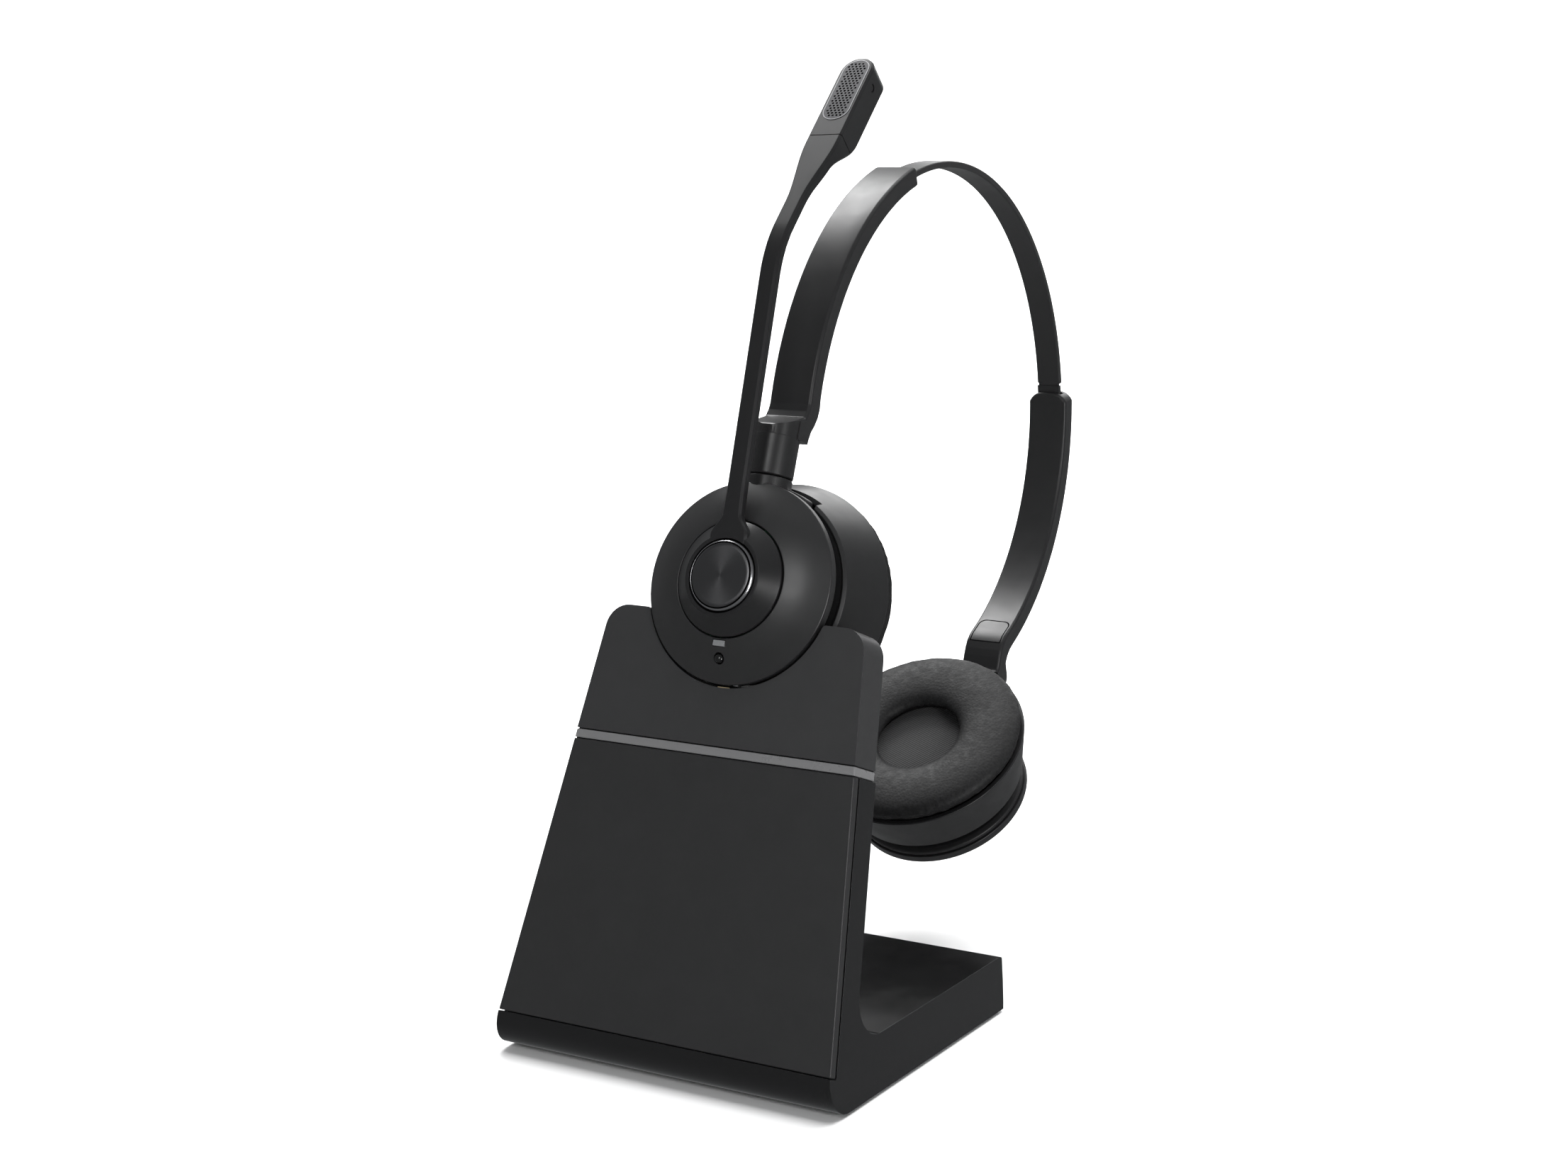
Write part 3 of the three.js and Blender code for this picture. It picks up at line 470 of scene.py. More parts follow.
def leatherette(name, base):
    """Fine pebbled leatherette with soft creases."""
    shader = Shader(name)
    cells = shader.add("ShaderNodeTexVoronoi", Scale=1350.0, Randomness=1.0)
    cells.feature = "SMOOTH_F1"
    cells.inputs["Smoothness"].default_value = 0.35
    shader.link(shader.place, cells.inputs["Vector"])
    pebbles = shader.bump(cells.outputs["Distance"], 0.55, 0.10 * MM)
    creases = shader.noise(420, 5, 0.6)
    shader.bump(creases, 0.35, 0.16 * MM, pebbles)
    shader.tint(cells.outputs["Distance"], base, 0.3)
    gloss = shader.spread(shader.noise(500, 3), 0.5, 0.64, 0.3, 0.7)
    shader.link(gloss, shader.surface.inputs["Roughness"])
    shader.set(Specular_IOR_Level=0.28)
    return shader.material


def speaker_weave(name, base, place):
    """Fine ribbed cloth stretched flat over a speaker."""
    shader = Shader(name)
    own = shader.mapped(place)
    ribs = shader.add("ShaderNodeTexWave", Scale=0.62, Distortion=0.6)
    ribs.bands_direction = "DIAGONAL"
    ribs.inputs["Detail"].default_value = 1.0
    shader.link(own, ribs.inputs["Vector"])
    threads = shader.noise(2.4, 2, 0.5, own)
    mixed = shader.add("ShaderNodeMath", operation="MULTIPLY_ADD")
    mixed.inputs[1].default_value = 0.75
    shader.link(ribs.outputs["Fac"], mixed.inputs[0])
    scaled = shader.spread(threads, 0, 0.3)
    shader.link(scaled, mixed.inputs[2])
    shader.bump(mixed.outputs["Value"], 0.7, 0.12 * MM)
    shader.tint(mixed.outputs["Value"], base, 0.45)
    shader.set(Roughness=0.9, Sheen_Weight=0.25, Specular_IOR_Level=0.25)
    return shader.material


def plain_metal(name, base, roughness, scratch=0.15):
    shader = Shader(name)
    grain = shader.noise(1500, 4, 0.7)
    shader.tint(grain, base, 0.1)
    shader.link(shader.spread(grain, roughness - 0.06, roughness + 0.06), shader.surface.inputs["Roughness"])
    shader.bump(grain, scratch, 0.01 * MM)
    shader.set(Metallic=1.0)
    return shader.material


def frosted(name, base):
    """Frosted light window."""
    shader = Shader(name)
    shader.tint(shader.noise(1600), base, 0.15)
    shader.bump(shader.noise(4000), 0.1, 0.02 * MM)
    shader.set(Roughness=0.32, IOR=1.49, Specular_IOR_Level=0.6)
    return shader.material


def circuit(name, base):
    """Solder mask with faint copper tracks."""
    shader = Shader(name)
    tracks = shader.add("ShaderNodeTexBrick", Scale=160.0)
    tracks.inputs["Mortar Size"].default_value = 0.03
    shader.link(shader.place, tracks.inputs["Vector"])
    shader.tint(tracks.outputs["Fac"], base, 0.5)
    shader.bump(tracks.outputs["Fac"], 0.3, 0.05 * MM)
    shader.set(Roughness=0.35)
    return shader.material


FINISHES = {}


def finish(name):
    """The named finish, made when it is first asked for."""
    if name not in FINISHES:
        makers = {
            "satin": lambda: moulded("satin moulding", colour("satin"), 0.36, 0.22, 0.22),
            "arm": lambda: moulded("arm moulding", colour("satin"), 0.36, 0.25, 0.25, specular=0.36),
            "shell": lambda: moulded("ear shell moulding", colour("satin"), 0.4, 0.35, 0.3, specular=0.36),
            "boom": lambda: moulded("boom moulding", colour("satin"), 0.32, 0.3, 0.22, specular=0.2),
            "plate": lambda: moulded("front plate", colour("plate"), 0.36, 0.2, 0.2),
            # Cradle plate: the front plate's black made 1.5 times lighter, painted light for the stand's
            # brighter upper part
            "plate painted lighter": lambda: moulded(
                "cradle plate", tuple(1.5 * c for c in colour("plate")), 0.36, 0.2, 0.2),
            "inner": lambda: moulded("inner moulding", colour("satin"), 0.6, 0.5, 0.5),
            "gloss": lambda: polished("polished body", colour("gloss")),
            "accent": lambda: moulded("accent strip", colour("accent"), 0.3, 0.1, 0.2),
            "rubber": lambda: moulded("rubber", (0.012, 0.012, 0.012, 1), 0.8, 0.6, 0.3, 0.15, 0.3),
            "button metal": lambda: spun("spun button", colour("metal"), LEFT),
            "ring metal": lambda: spun("bright ring", (0.3, 0.3, 0.31, 1), LEFT, 0.24, 0.4),
            "leather": lambda: leatherette("leatherette", colour("leather")),
            "left cloth": lambda: speaker_weave("left speaker cloth", colour("cloth"), LEFT),
            "right cloth": lambda: speaker_weave("right speaker cloth", colour("cloth"), RIGHT),
            "steel": lambda: plain_metal("plain steel", (0.5, 0.5, 0.51, 1), 0.34),
            "gold": lambda: plain_metal("gold contact", (0.75, 0.6, 0.38, 1), 0.25),
            "window": lambda: frosted("status window", (0.16, 0.165, 0.17, 1)),
            "board": lambda: circuit("circuit board", (0.02, 0.1, 0.05, 1)),
            "cell": lambda: moulded("battery wrap", (0.3, 0.32, 0.35, 1), 0.45, 0.1),
            "grille": lambda: plain_metal("grille metal", (0.026, 0.026, 0.028, 1), 0.34, 0.2),
            "grille rim": lambda: plain_metal("grille rim", (0.16, 0.16, 0.165, 1), 0.3, 0.1),
            # Near-black used as painted shade: sheets in the stand's seams and round the cradle's cut-out;
            # the microphone capsules use it too
            "painted shade black": lambda: moulded("dark recess", (0.002, 0.002, 0.002, 1), 0.9, 0.1, 0.3),
        }
        FINISHES[name] = makers[name]()
    return FINISHES[name]


def turning_map(piece, place):
    """UV map that runs round the cup's axis, for the sheen of turned metal."""
    mesh = piece.data
    layer = mesh.uv_layers.new(name="turning")
    own = place.inverted()
    for polygon in mesh.polygons:
        spots = [own @ mesh.vertices[mesh.loops[i].vertex_index].co for i in polygon.loop_indices]
        middle = sum(spots, Vector()) / len(spots)
        around = math.atan2(middle.x, middle.z)
        for i, spot in zip(polygon.loop_indices, spots):
            angle = math.atan2(spot.x, spot.z) if spot.xz.length > 1e-4 else around
            if angle - around > math.pi:
                angle -= 2 * math.pi
            if around - angle > math.pi:
                angle += 2 * math.pi
            layer.data[i].uv = (angle / (2 * math.pi) * 6, spot.xz.length / 10)
    return piece


# ---------------------------------------------------------------- stand
def half_width(slope):
    """Half width of the stand's front at a distance up its slope."""
    low, high = stand_size("seam_half_width"), stand_size("top_half_width")
    return low + (high - low) * slope / stand_size("panel_length")


def stand_corner(depth, slope):
    """A point of the panel's frame as the row frame's (y, z) in millimetres."""
    spot = panel_place() @ Vector((0, depth, slope)) / MM
    return spot.y, spot.z


def make_stand_body():
    front, _ = stand_corner(0, 0)
    up = Vector(JOINTS["left_swivel"]["axis"])
    lean = math.degrees(math.atan2(up.y, up.z))
    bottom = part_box("stand_body")[0].z / MM
    nose_radius, fillet = stand_size("nose_radius"), stand_size("heel_fillet")
    back = front + stand_size("foot_length")
    top = stand_size("foot_height")
    slab, strip = stand_size("slab_depth"), stand_size("strip_bottom") - 0.3
    recess = stand_size("plate_depth") + 0.3
    nose = stand_corner(nose_radius, 0)
    seam_height = stand_corner(0, 0)[1]
    heel_height = top + fillet
    heel_slope = (heel_height - seam_height + (slab + fillet) * up.y) / up.z
    heel = stand_corner(slab + fillet, heel_slope)
    outline = arc(nose[0], nose[1], nose_radius, 180 - lean, 270, 20)
    outline += rounded([(nose[0] + 2, bottom), (back - 1.2, bottom, 1.4), (back + 0.2, (bottom + top) / 2, 0),
                        (back, top, 2.2), (back - 30, top)], steps=6, closed=False)
    outline += arc(heel[0], heel[1], fillet, 270, 180 - lean, 14)
    outline += [stand_corner(slab, strip), stand_corner(recess, strip), stand_corner(recess, 0)]
    body = prism("stand_shell", outline, "x", -60, 60)
    low, high = half_width(-20), half_width(130)
    spots = [stand_corner(0, -20)[1], stand_corner(0, 130)[1]]
    taper = prism("taper", [(low, spots[0]), (high, spots[1]), (-high, spots[1]), (-low, spots[0])],
                  "y", -120, 120)
    foot_side = half_width(-11) + 0.6
    corner = rounded([(-foot_side, -200), (foot_side, -200), (foot_side, back + 0.3, 5),
                      (-foot_side, back + 0.3, 5)], steps=8)
    plan = prism("plan", corner, "z", -5, 200)
    join_shape(body, [taper, plan], "INTERSECT")
    low_plate, high_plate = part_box("bottom_plate")
    cavity = block("cavity", (low_plate.x / MM - GAP, low_plate.y / MM - GAP, -2),
                   (high_plate.x / MM + GAP, high_plate.y / MM + GAP, top - 2.4))
    socket = prism("socket", rounded([(-5.2, 4.9), (5.2, 4.9), (5.2, 9.1), (-5.2, 9.1)], 1.9, 5),
                   "y", back - 8, back + 4)
    join_shape(body, [cavity, socket])
    soften(body, 0.6, 4)
    return seat(body, "stand", finish("gloss"), ["stand_body"])


def slope_slice(name, low, high, near, far):
    """A slice of the slab between two heights on its slope and two depths."""
    outline = [(half_width(low), low), (half_width(high), high),
               (-half_width(high), high), (-half_width(low), low)]
    return prism(name, outline, "y", near, far, panel_place())


def make_front_plates():
    strip_low, strip_high = stand_size("strip_bottom"), stand_size("strip_top")
    slab = stand_size("slab_depth")
    lower = slope_slice("lower_front_panel", GAP, strip_low - GAP, 0, stand_size("plate_depth"))
    soften(lower, 0.28, 3)
    seat(lower, "stand", finish("plate"), ["front_plate"])
    strip = slope_slice("accent_band", strip_low, strip_high - GAP, 0, slab)
    soften(strip, 0.3, 2)
    way = block("way", (-8, 4.6, strip_low - 1), (8, slab - 1.8, strip_high + 1), panel_place())
    join_shape(strip, [way])
    soften(strip, 0)
    # Near-black sheets in the gaps below and above the accent strip: painted shade in the seams
    for name, low in (("lower_seam", strip_low - 0.31), ("upper_seam", strip_high - 0.31)):
        seam_shade = slope_slice(name, low, low + 0.32, 0.8, slab - 0.5)
        seam_shade.data.transform(panel_place() @ Matrix.Scale(0.996, 4, (1, 0, 0)) @ panel_place().inverted())
        join_shape(seam_shade, [block("way", (-8, 4.6, low - 1), (8, slab - 1.8, low + 1), panel_place())])
        soften(seam_shade, 0)
        seat(seam_shade, "stand", finish("painted shade black"))
    seat(strip, "stand", finish("accent"), ["accent_strip"])


def make_cradle():
    top, strip = stand_size("panel_length"), stand_size("strip_top")
    centre, bore = stand_size("cup_height"), stand_size("cradle_radius")
    slab = stand_size("slab_depth")
    end = math.degrees(math.asin((top - centre) / bore))
    cut = arc(0, centre, bore, end, -180 - end, 60)
    right = [(half_width(strip), strip), (half_width(top), top, stand_size("top_corner"))]
    left = [(-half_width(top), top, stand_size("top_corner")), (-half_width(strip), strip)]
    cut = [(*cut[0], 1.1)] + cut[2:-2] + [(*cut[-1], 1.1)]
    outline = rounded(right + cut + left, steps=8)
    housing = prism("cradle", outline, "y", 0, slab, panel_place())
    step = cup_size("shell_near") - 2.6
    wide = cup_size("shell_near_radius") + 1.2
    far = wide + (cup_size("shell_far_radius") - cup_size("shell_near_radius")) / 16 * 10
    clearing = turned("clearing", [(0, step), (wide, step), (far, step + 10), (0, step + 10)], LEFT, 128)
    pocket = block("pocket", (-12, 0.5, strip - 1), (12, slab - 2.4, strip + 9.9), panel_place())
    slots = []
    for node in ("contact_pin_wide", "contact_pin_narrow"):
        low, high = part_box(node)
        left_side, right_side = low.x / MM - 0.3, high.x / MM + 0.3
        slots.append(block("slot", (left_side, 0.45, strip + 1.5), (right_side, 2.6, centre), panel_place()))
    join_shape(housing, [clearing, pocket] + slots)
    soften(housing, 0.4, 3)
    seat(housing, "stand", finish("plate painted lighter"), ["cradle_housing"])
    # Near-black ring in the gap round the cradle's cut-out, behind the docked cup: painted shade
    lip = arc(0, centre, bore - 0.5, -22, -158, 60) + arc(0, centre, bore + 0.6, -158, -22, 60)
    lip = soften(prism("cradle_lip", lip, "y", 2.5, step - 0.05, panel_place()), 0)
    seat(lip, "stand", finish("painted shade black"))


# ---------------------------------------------------------------- discs
def disc_profile(inner, inner_rise):
    """Domed ring of a cup's outer disc, from its rim in to the hub seam."""
    rim = cup_size("disc_radius")
    steps = 10
    crown = []
    for i in range(steps + 1):
        t = i / steps
        bulge = 0.5 * math.sin(math.pi * t)
        crown.append((rim - 0.7 + (inner - rim + 0.7) * t, -(1.3 + (inner_rise - 1.3) * t + bulge)))
    crown[-1] = (*crown[-1], 0.35)
    outline = [(rim, 1.4, 0.2), (rim, -0.9, 0.5)] + crown
    outline += [(inner, -inner_rise + 1.6), (rim - 3, 0.1), (rim - 1.6, 1.4)]
    return rounded(outline, steps=4)


def make_discs():
    rim, seam = cup_size("disc_radius"), cup_size("seam_radius")
    cover = turned("left_disc", disc_profile(seam, SEAM_RISE), LEFT)
    tools = []
    tools.append(block("light", (-1.85, -9, -17.75), (1.85, 2, -15.95), LEFT))
    tools.append(turned("dot", [(0, -9), (1.5, -9), (1.5, 0.2), (0, 0.2)],
                        LEFT @ Matrix.Translation((0, 0, PAIRING_DROP)), 32))
    tools.append(block("pocket", (-rim - 2, -0.9, -6.5), (-rim + 3.2, 2.4, 6.5), LEFT))
    for node in ("charge_contact_wide", "charge_contact_narrow"):
        low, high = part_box(node)
        tools.append(block("slot", (low.x / MM - 0.25, -0.45, -rim - 1),
                           (high.x / MM + 0.25, 3, -rim + 1.1), LEFT))
    join_shape(cover, tools)
    soften(cover, 0, smooth=30)
    seat(cover, "left_cup", finish("satin"), ["left_cover"])
    cover = soften(turned("right_disc", disc_profile(seam, SEAM_RISE), RIGHT), 0, smooth=30)
    seat(cover, "right_cup", finish("satin"), ["right_cover"])
    flat = cup_size("flat_radius")
    cap = rounded([(0, -8.3), (flat - 2, -8.2, 3), (flat, -7.9, 1.5), (seam - 0.3, -5.9, 0.4),
                   (seam - 0.3, -4.6), (0, -4.6)], steps=5)
    cap = soften(turned("right_hub", cap, RIGHT), 0, smooth=30)
    seat(cap, "right_cup", finish("satin"), ["right_centre_cap"])
    for side, place in (("left", LEFT), ("right", RIGHT)):
        back = [(0, 1.7), (rim - 0.5, 1.7, 0.2), (rim - 0.5, 2.8, 0.6), (rim - 2, 3.4, 0.3), (0, 3.4)]
        piece = soften(turned(side + "_back_cap", rounded(back, steps=4), place), 0, smooth=30)
        seat(piece, side + "_cup", finish("shell"), [side + "_rear_cap"])


def make_button():
    outer, inner = cup_size("bezel_radius"), cup_size("button_radius") + 0.3
    ring = rounded([(inner, -7.5), (outer, -7.5), (outer, -9.9, 0.3), (outer - 0.25, -10.35, 0.15),
                    (inner, -10.9, 0.1)], steps=3)
    ring = soften(turned("bright_ring", ring, LEFT), 0, smooth=30)
    turning_map(ring, LEFT)
    seat(ring, "left_cup", finish("ring metal"), ["button_bezel"])
    edge = cup_size("button_radius")
    face = [(0, -10.95)] + [(edge * k / 8, -10.95 - 0.05 * math.sin(math.pi * k / 8)) for k in range(1, 8)]
    face += [(edge - 0.35, -10.95), (edge - 0.08, -10.8), (edge, -10.55), (edge, -9.2), (0, -9.2)]
    cap = soften(turned("call_key", face, LEFT), 0, smooth=30)
    turning_map(cap, LEFT)
    seat(cap, "call_button", finish("button metal"), ["call_button"])


def make_small_controls():
    lens = prism("light_window", rounded([(-1.7, -17.6), (1.7, -17.6), (1.7, -16.1), (-1.7, -16.1)], 0.18, 3),
                 "y", -5.8, -3.9, LEFT)
    soften(lens, 0.12, 2)
    seat(lens, "left_cup", finish("window"), ["status_window"])
    dome = [(0, -5.0)] + [(1.25 * math.sin(t), -4.2 - 0.8 * math.cos(t))
                          for t in np.linspace(0.2, math.pi / 2, 7)]
    dome += [(1.25, -1.8), (0, -1.8)]
    dome = turned("pairing_key", dome, LEFT @ Matrix.Translation((0, 0, PAIRING_DROP)), 40)
    soften(dome, 0, smooth=40)
    seat(dome, "pairing_button", finish("gloss"), ["pairing_button"])
    rim = cup_size("disc_radius")
    rocker = prism("volume_key", rounded([(-rim + 0.1, -6), (-rim + 2.7, -6), (-rim + 2.7, 6),
                                          (-rim + 0.1, 6)], 0.9, 4), "y", -0.4, 0.9, LEFT)
    soften(rocker, 0.3, 3)
    seat(rocker, "volume_rocker", finish("satin"), ["volume_rocker"])


# ---------------------------------------------------------------- boom
BOOM_FACE = -10.2
BEND_START, BEND_RADIUS, BEND_ANGLE = 80.5, 34.0, 27.0
SEAM_ALONG, TIP_ALONG, HEAD_DEPTH = 33.0, 64.0, 9.2


def boom_place():
    """Frame of the boom, which leans a little from straight up."""
    return LEFT @ Matrix.Rotation(math.radians(-2.0), 4, "Y")


def on_boom(along, depth):
    """(y, z) on the boom at a distance past its bend, or on its bend or straight part below that."""
    turn = math.radians(BEND_ANGLE)
    if along < 0:
        turn = max(0.0, turn + along / BEND_RADIUS)
    s, c = math.sin(turn), math.cos(turn)
    y = BOOM_FACE + BEND_RADIUS * (1 - c) + depth * c
    z = BEND_START + BEND_RADIUS * s - depth * s
    if along > 0:
        y, z = y + along * s, z + along * c
    straight = along + BEND_RADIUS * math.radians(BEND_ANGLE)
    if straight < 0:
        z += straight
    return y, z


def boom_section(along, near, far, half, cut):
    """Section across the boom with its outer edges cut back and its inner ones rounded."""
    depth = far - near
    cut = min(cut, half * 0.4, depth * 0.3)
    back = min(0.9, half * 0.45, depth * 0.35)
    corners = rounded([(half - cut, 0, 0.25), (half, cut, 0.3), (half, depth - back, 0.5),
                       (half - back, depth, 0.5), (back - half, depth, 0.5), (-half, depth - back, 0.5),
                       (-half, cut, 0.3), (cut - half, 0, 0.25)], steps=3)
    result = []
    for x, d in corners:
        y, z = on_boom(along, near + d)
        result.append((x, y, z))
    return result


def ease(t):
    t = max(0.0, min(1.0, t))
    return t * t * (3 - 2 * t)


def boom_size(along):
    """(far depth, half width) of the boom at a distance past its bend."""
    slim, wide = band_size("boom_width") / 2, band_size("head_width") / 2
    half = slim + (wide - slim) * ease((along - 8) / 23)
    depth = 3.4 + 0.5 * ease((along - 12) / 10) + (HEAD_DEPTH - 3.9) * ease((along - 23) / 14.5)
    return depth, half


def boom_stations(low, high, count):
    return [low + (high - low) * i / count for i in range(count + 1)]


def make_boom():
    place = boom_place()
    seam, flat, bezel = cup_size("seam_radius"), cup_size("flat_radius"), cup_size("bezel_radius")
    bend_length = BEND_RADIUS * math.radians(BEND_ANGLE)
    root = -bend_length - BEND_START
    sections = []
    stations = boom_stations(root + flat - 3, root + flat + 14, 34)
    stations += boom_stations(root + flat + 15, -bend_length - 2, 14)
    stations += boom_stations(-bend_length, SEAM_ALONG - 0.15, 44)
    for along in stations:
        depth, half = boom_size(along)
        above = along - root - flat
        half += 2.6 * (1 - ease(above / 5.2)) + 0.4 * (1 - ease(above / 14))
        sections.append(boom_section(along, 0, depth, half, 0.6))
    shaft = loft("boom", sections, place)
    hub = rounded([(bezel + 0.3, -10.14, 0.1), (flat, -10.14, 0.45), (seam - 0.3, -6.1, 0.3),
                   (seam - 0.3, -5.1), (13.4, -5.1), (13.4, -3), (bezel + 0.3, -3)], steps=4)
    hub = turned("hub", hub, place)
    join_shape(shaft, [turned("hub_clear", [(0, -20), (bezel + 0.3, -20), (bezel + 0.3, 0), (0, 0)], place)])
    join_shape(shaft, [hub], "UNION")
    soften(shaft, 0, smooth=32)
    seat(shaft, "boom", finish("boom"), ["boom_arm"])


def head_place():
    """Frame of the microphone head: y into it, z along it from the end of the bend."""
    shift = Matrix.Translation((0, *on_boom(0, 0)))
    return boom_place() @ shift @ Matrix.Rotation(math.radians(-BEND_ANGLE), 4, "X")


def stadium(half):
    """Long rounded outline of the microphone's grille: (x, along)."""
    middle = 3.9
    low, high = SEAM_ALONG + 6, TIP_ALONG - 1.3
    return arc(0, low + middle, half, 180, 360, 16) + arc(0, high - middle, half, 0, 180, 16)


def make_microphone():
    sections = []
    half = band_size("head_width") / 2
    for along in boom_stations(SEAM_ALONG + 0.15, TIP_ALONG - half, 24):
        depth, wide = boom_size(along)
        sections.append(boom_section(along, 0, depth, wide, 0.6))
    for k in range(1, 25):
        turn, blunt = math.pi / 2 * k / 24.6, (k / 24) ** 6
        along = TIP_ALONG - half + half * math.sin(turn)
        sections.append(boom_section(along, 0.5 * blunt, HEAD_DEPTH - 1.1 * blunt,
                                     half * math.cos(turn), 0.6))
    head = loft("microphone_housing", sections, boom_place())
    place = head_place()
    pocket = prism("pocket", stadium(POCKET_HALF), "y", -2, 5.2, place)
    port = arc(3.4, TIP_ALONG - 9, 1.25, -60, 120, 12) + arc(3.1, TIP_ALONG - 9.3, 0.95, 120, -60, 12)
    port = prism("port", port, "x", half - 0.8, half + 3, place)
    join_shape(head, [pocket, port])
    soften(head, 0, smooth=32)
    seat(head, "boom", finish("boom"), ["mic_housing"])


def perforation_tree():
    """Geometry Nodes: staggered rows of round holes cut through a long rounded plate."""
    tree = bpy.data.node_groups.new("perforated plate", "GeometryNodeTree")
    tree.interface.new_socket("Geometry", in_out="INPUT", socket_type="NodeSocketGeometry")
    for label in ("Hole pitch", "Row pitch", "Hole radius", "Plate thickness", "Hole field length",
                  "Hole field radius"):
        tree.interface.new_socket(label, in_out="INPUT", socket_type="NodeSocketFloat")
    for label in ("Columns", "Rows"):
        tree.interface.new_socket(label, in_out="INPUT", socket_type="NodeSocketInt")
    tree.interface.new_socket("Finish", in_out="INPUT", socket_type="NodeSocketMaterial")
    tree.interface.new_socket("Geometry", in_out="OUTPUT", socket_type="NodeSocketGeometry")
    nodes, links = tree.nodes, tree.links
    source, target = nodes.new("NodeGroupInput").outputs, nodes.new("NodeGroupOutput")

    def calculate(operation, first, second=None):
        node = nodes.new("ShaderNodeMath")
        node.operation = operation
        for i, value in enumerate((first, second)):
            if value is None:
                continue
            if isinstance(value, (int, float)):
                node.inputs[i].default_value = value
            else:
                links.new(value, node.inputs[i])
        return node.outputs[0]

    grid = nodes.new("GeometryNodeMeshGrid")
    links.new(source["Columns"], grid.inputs["Vertices X"])
    links.new(source["Rows"], grid.inputs["Vertices Y"])
    links.new(calculate("MULTIPLY", calculate("SUBTRACT", source["Columns"], 1), source["Hole pitch"]),
              grid.inputs["Size X"])
    links.new(calculate("MULTIPLY", calculate("SUBTRACT", source["Rows"], 1), source["Row pitch"]),
              grid.inputs["Size Y"])
    place = nodes.new("GeometryNodeInputPosition")
    split = nodes.new("ShaderNodeSeparateXYZ")
    links.new(place.outputs[0], split.inputs[0])
    row = calculate("ROUND", calculate("ADD", calculate("DIVIDE", split.outputs["Y"], source["Row pitch"]),
                                       ROW_OFFSET))
    odd = calculate("MODULO", row, 2)
    shift = nodes.new("ShaderNodeCombineXYZ")
    links.new(calculate("MULTIPLY", calculate("SUBTRACT", odd, 0.5),
                        calculate("MULTIPLY", source["Hole pitch"], 0.5)), shift.inputs["X"])
    stagger = nodes.new("GeometryNodeSetPosition")
    links.new(grid.outputs["Mesh"], stagger.inputs["Geometry"])
    links.new(shift.outputs[0], stagger.inputs["Offset"])
    beyond = calculate("MAXIMUM", calculate("SUBTRACT", calculate("ABSOLUTE", split.outputs["Y"]),
                                            calculate("MULTIPLY", source["Hole field length"], 0.5)), 0)
    across = calculate("ABSOLUTE", split.outputs["X"])
    reach = calculate("SQRT", calculate("ADD", calculate("MULTIPLY", across, across),
                                        calculate("MULTIPLY", beyond, beyond)))
    outside = calculate("GREATER_THAN", reach, source["Hole field radius"])
    trim = nodes.new("GeometryNodeDeleteGeometry")
    trim.domain = "POINT"
    links.new(stagger.outputs["Geometry"], trim.inputs["Geometry"])
    links.new(outside, trim.inputs["Selection"])
    drill = nodes.new("GeometryNodeMeshCylinder")
    drill.inputs["Vertices"].default_value = 10
    links.new(source["Hole radius"], drill.inputs["Radius"])
    links.new(calculate("MULTIPLY", source["Plate thickness"], 3), drill.inputs["Depth"])
    spread = nodes.new("GeometryNodeInstanceOnPoints")
    links.new(trim.outputs["Geometry"], spread.inputs["Points"])
    links.new(drill.outputs["Mesh"], spread.inputs["Instance"])
    real = nodes.new("GeometryNodeRealizeInstances")
    links.new(spread.outputs["Instances"], real.inputs["Geometry"])
    cut = nodes.new("GeometryNodeMeshBoolean")
    cut.operation = "DIFFERENCE"
    cut.solver = "EXACT"
    links.new(source["Geometry"], cut.inputs["Mesh 1"])
    links.new(real.outputs["Geometry"], cut.inputs["Mesh 2"])
    last = nodes.new("GeometryNodeRealizeInstances")
    links.new(cut.outputs["Mesh"], last.inputs["Geometry"])
    paint = nodes.new("GeometryNodeSetMaterial")
    links.new(last.outputs["Geometry"], paint.inputs["Geometry"])
    links.new(source["Finish"], paint.inputs["Material"])
    links.new(paint.outputs["Geometry"], target.inputs["Geometry"])
    return tree


def make_grille():
    thickness, middle = 0.7, (SEAM_ALONG + 6 + TIP_ALONG - 1.3) / 2
    outline = [(x, along - middle) for x, along in stadium(GRILLE_HALF)]
    plate = prism("microphone_grille", outline, "z", -thickness / 2, thickness / 2)
    tree = perforation_tree()
    step = plate.modifiers.new("perforations", "NODES")
    step.node_group = tree
    values = {"Hole pitch": 1.16 * MM, "Row pitch": 0.98 * MM, "Hole radius": 0.36 * MM,
              "Plate thickness": thickness * MM, "Hole field length": 15.9 * MM,
              "Hole field radius": 3.15 * MM, "Columns": 7, "Rows": 24, "Finish": finish("grille")}
    sockets = {item.name: item.identifier for item in tree.interface.items_tree if item.in_out == "INPUT"}
    for label, value in values.items():
        step[sockets[label]] = value
    settle(plate)
    turn = Matrix(((1, 0, 0), (0, 0, 1), (0, 1, 0))).to_4x4()
    shift = Matrix.Translation((0, 0.25 * MM, middle * MM))
    rigid = head_place() @ Matrix.Scale(1 / MM, 4)
    plate.data.transform(rigid @ shift @ turn)
    plate.data.flip_normals()
    soften(plate, 0, smooth=30)
    seat(plate, "boom", finish("grille"), ["mic_grille"])
    rim = prism("grille_rim", stadium(RIM_OUTSIDE), "y", -0.12, 0.5, head_place())
    join_shape(rim, [prism("inside", stadium(RIM_INSIDE), "y", -1, 1, head_place())])
    soften(rim, 0, smooth=30)
    seat(rim, "boom", finish("grille rim"))


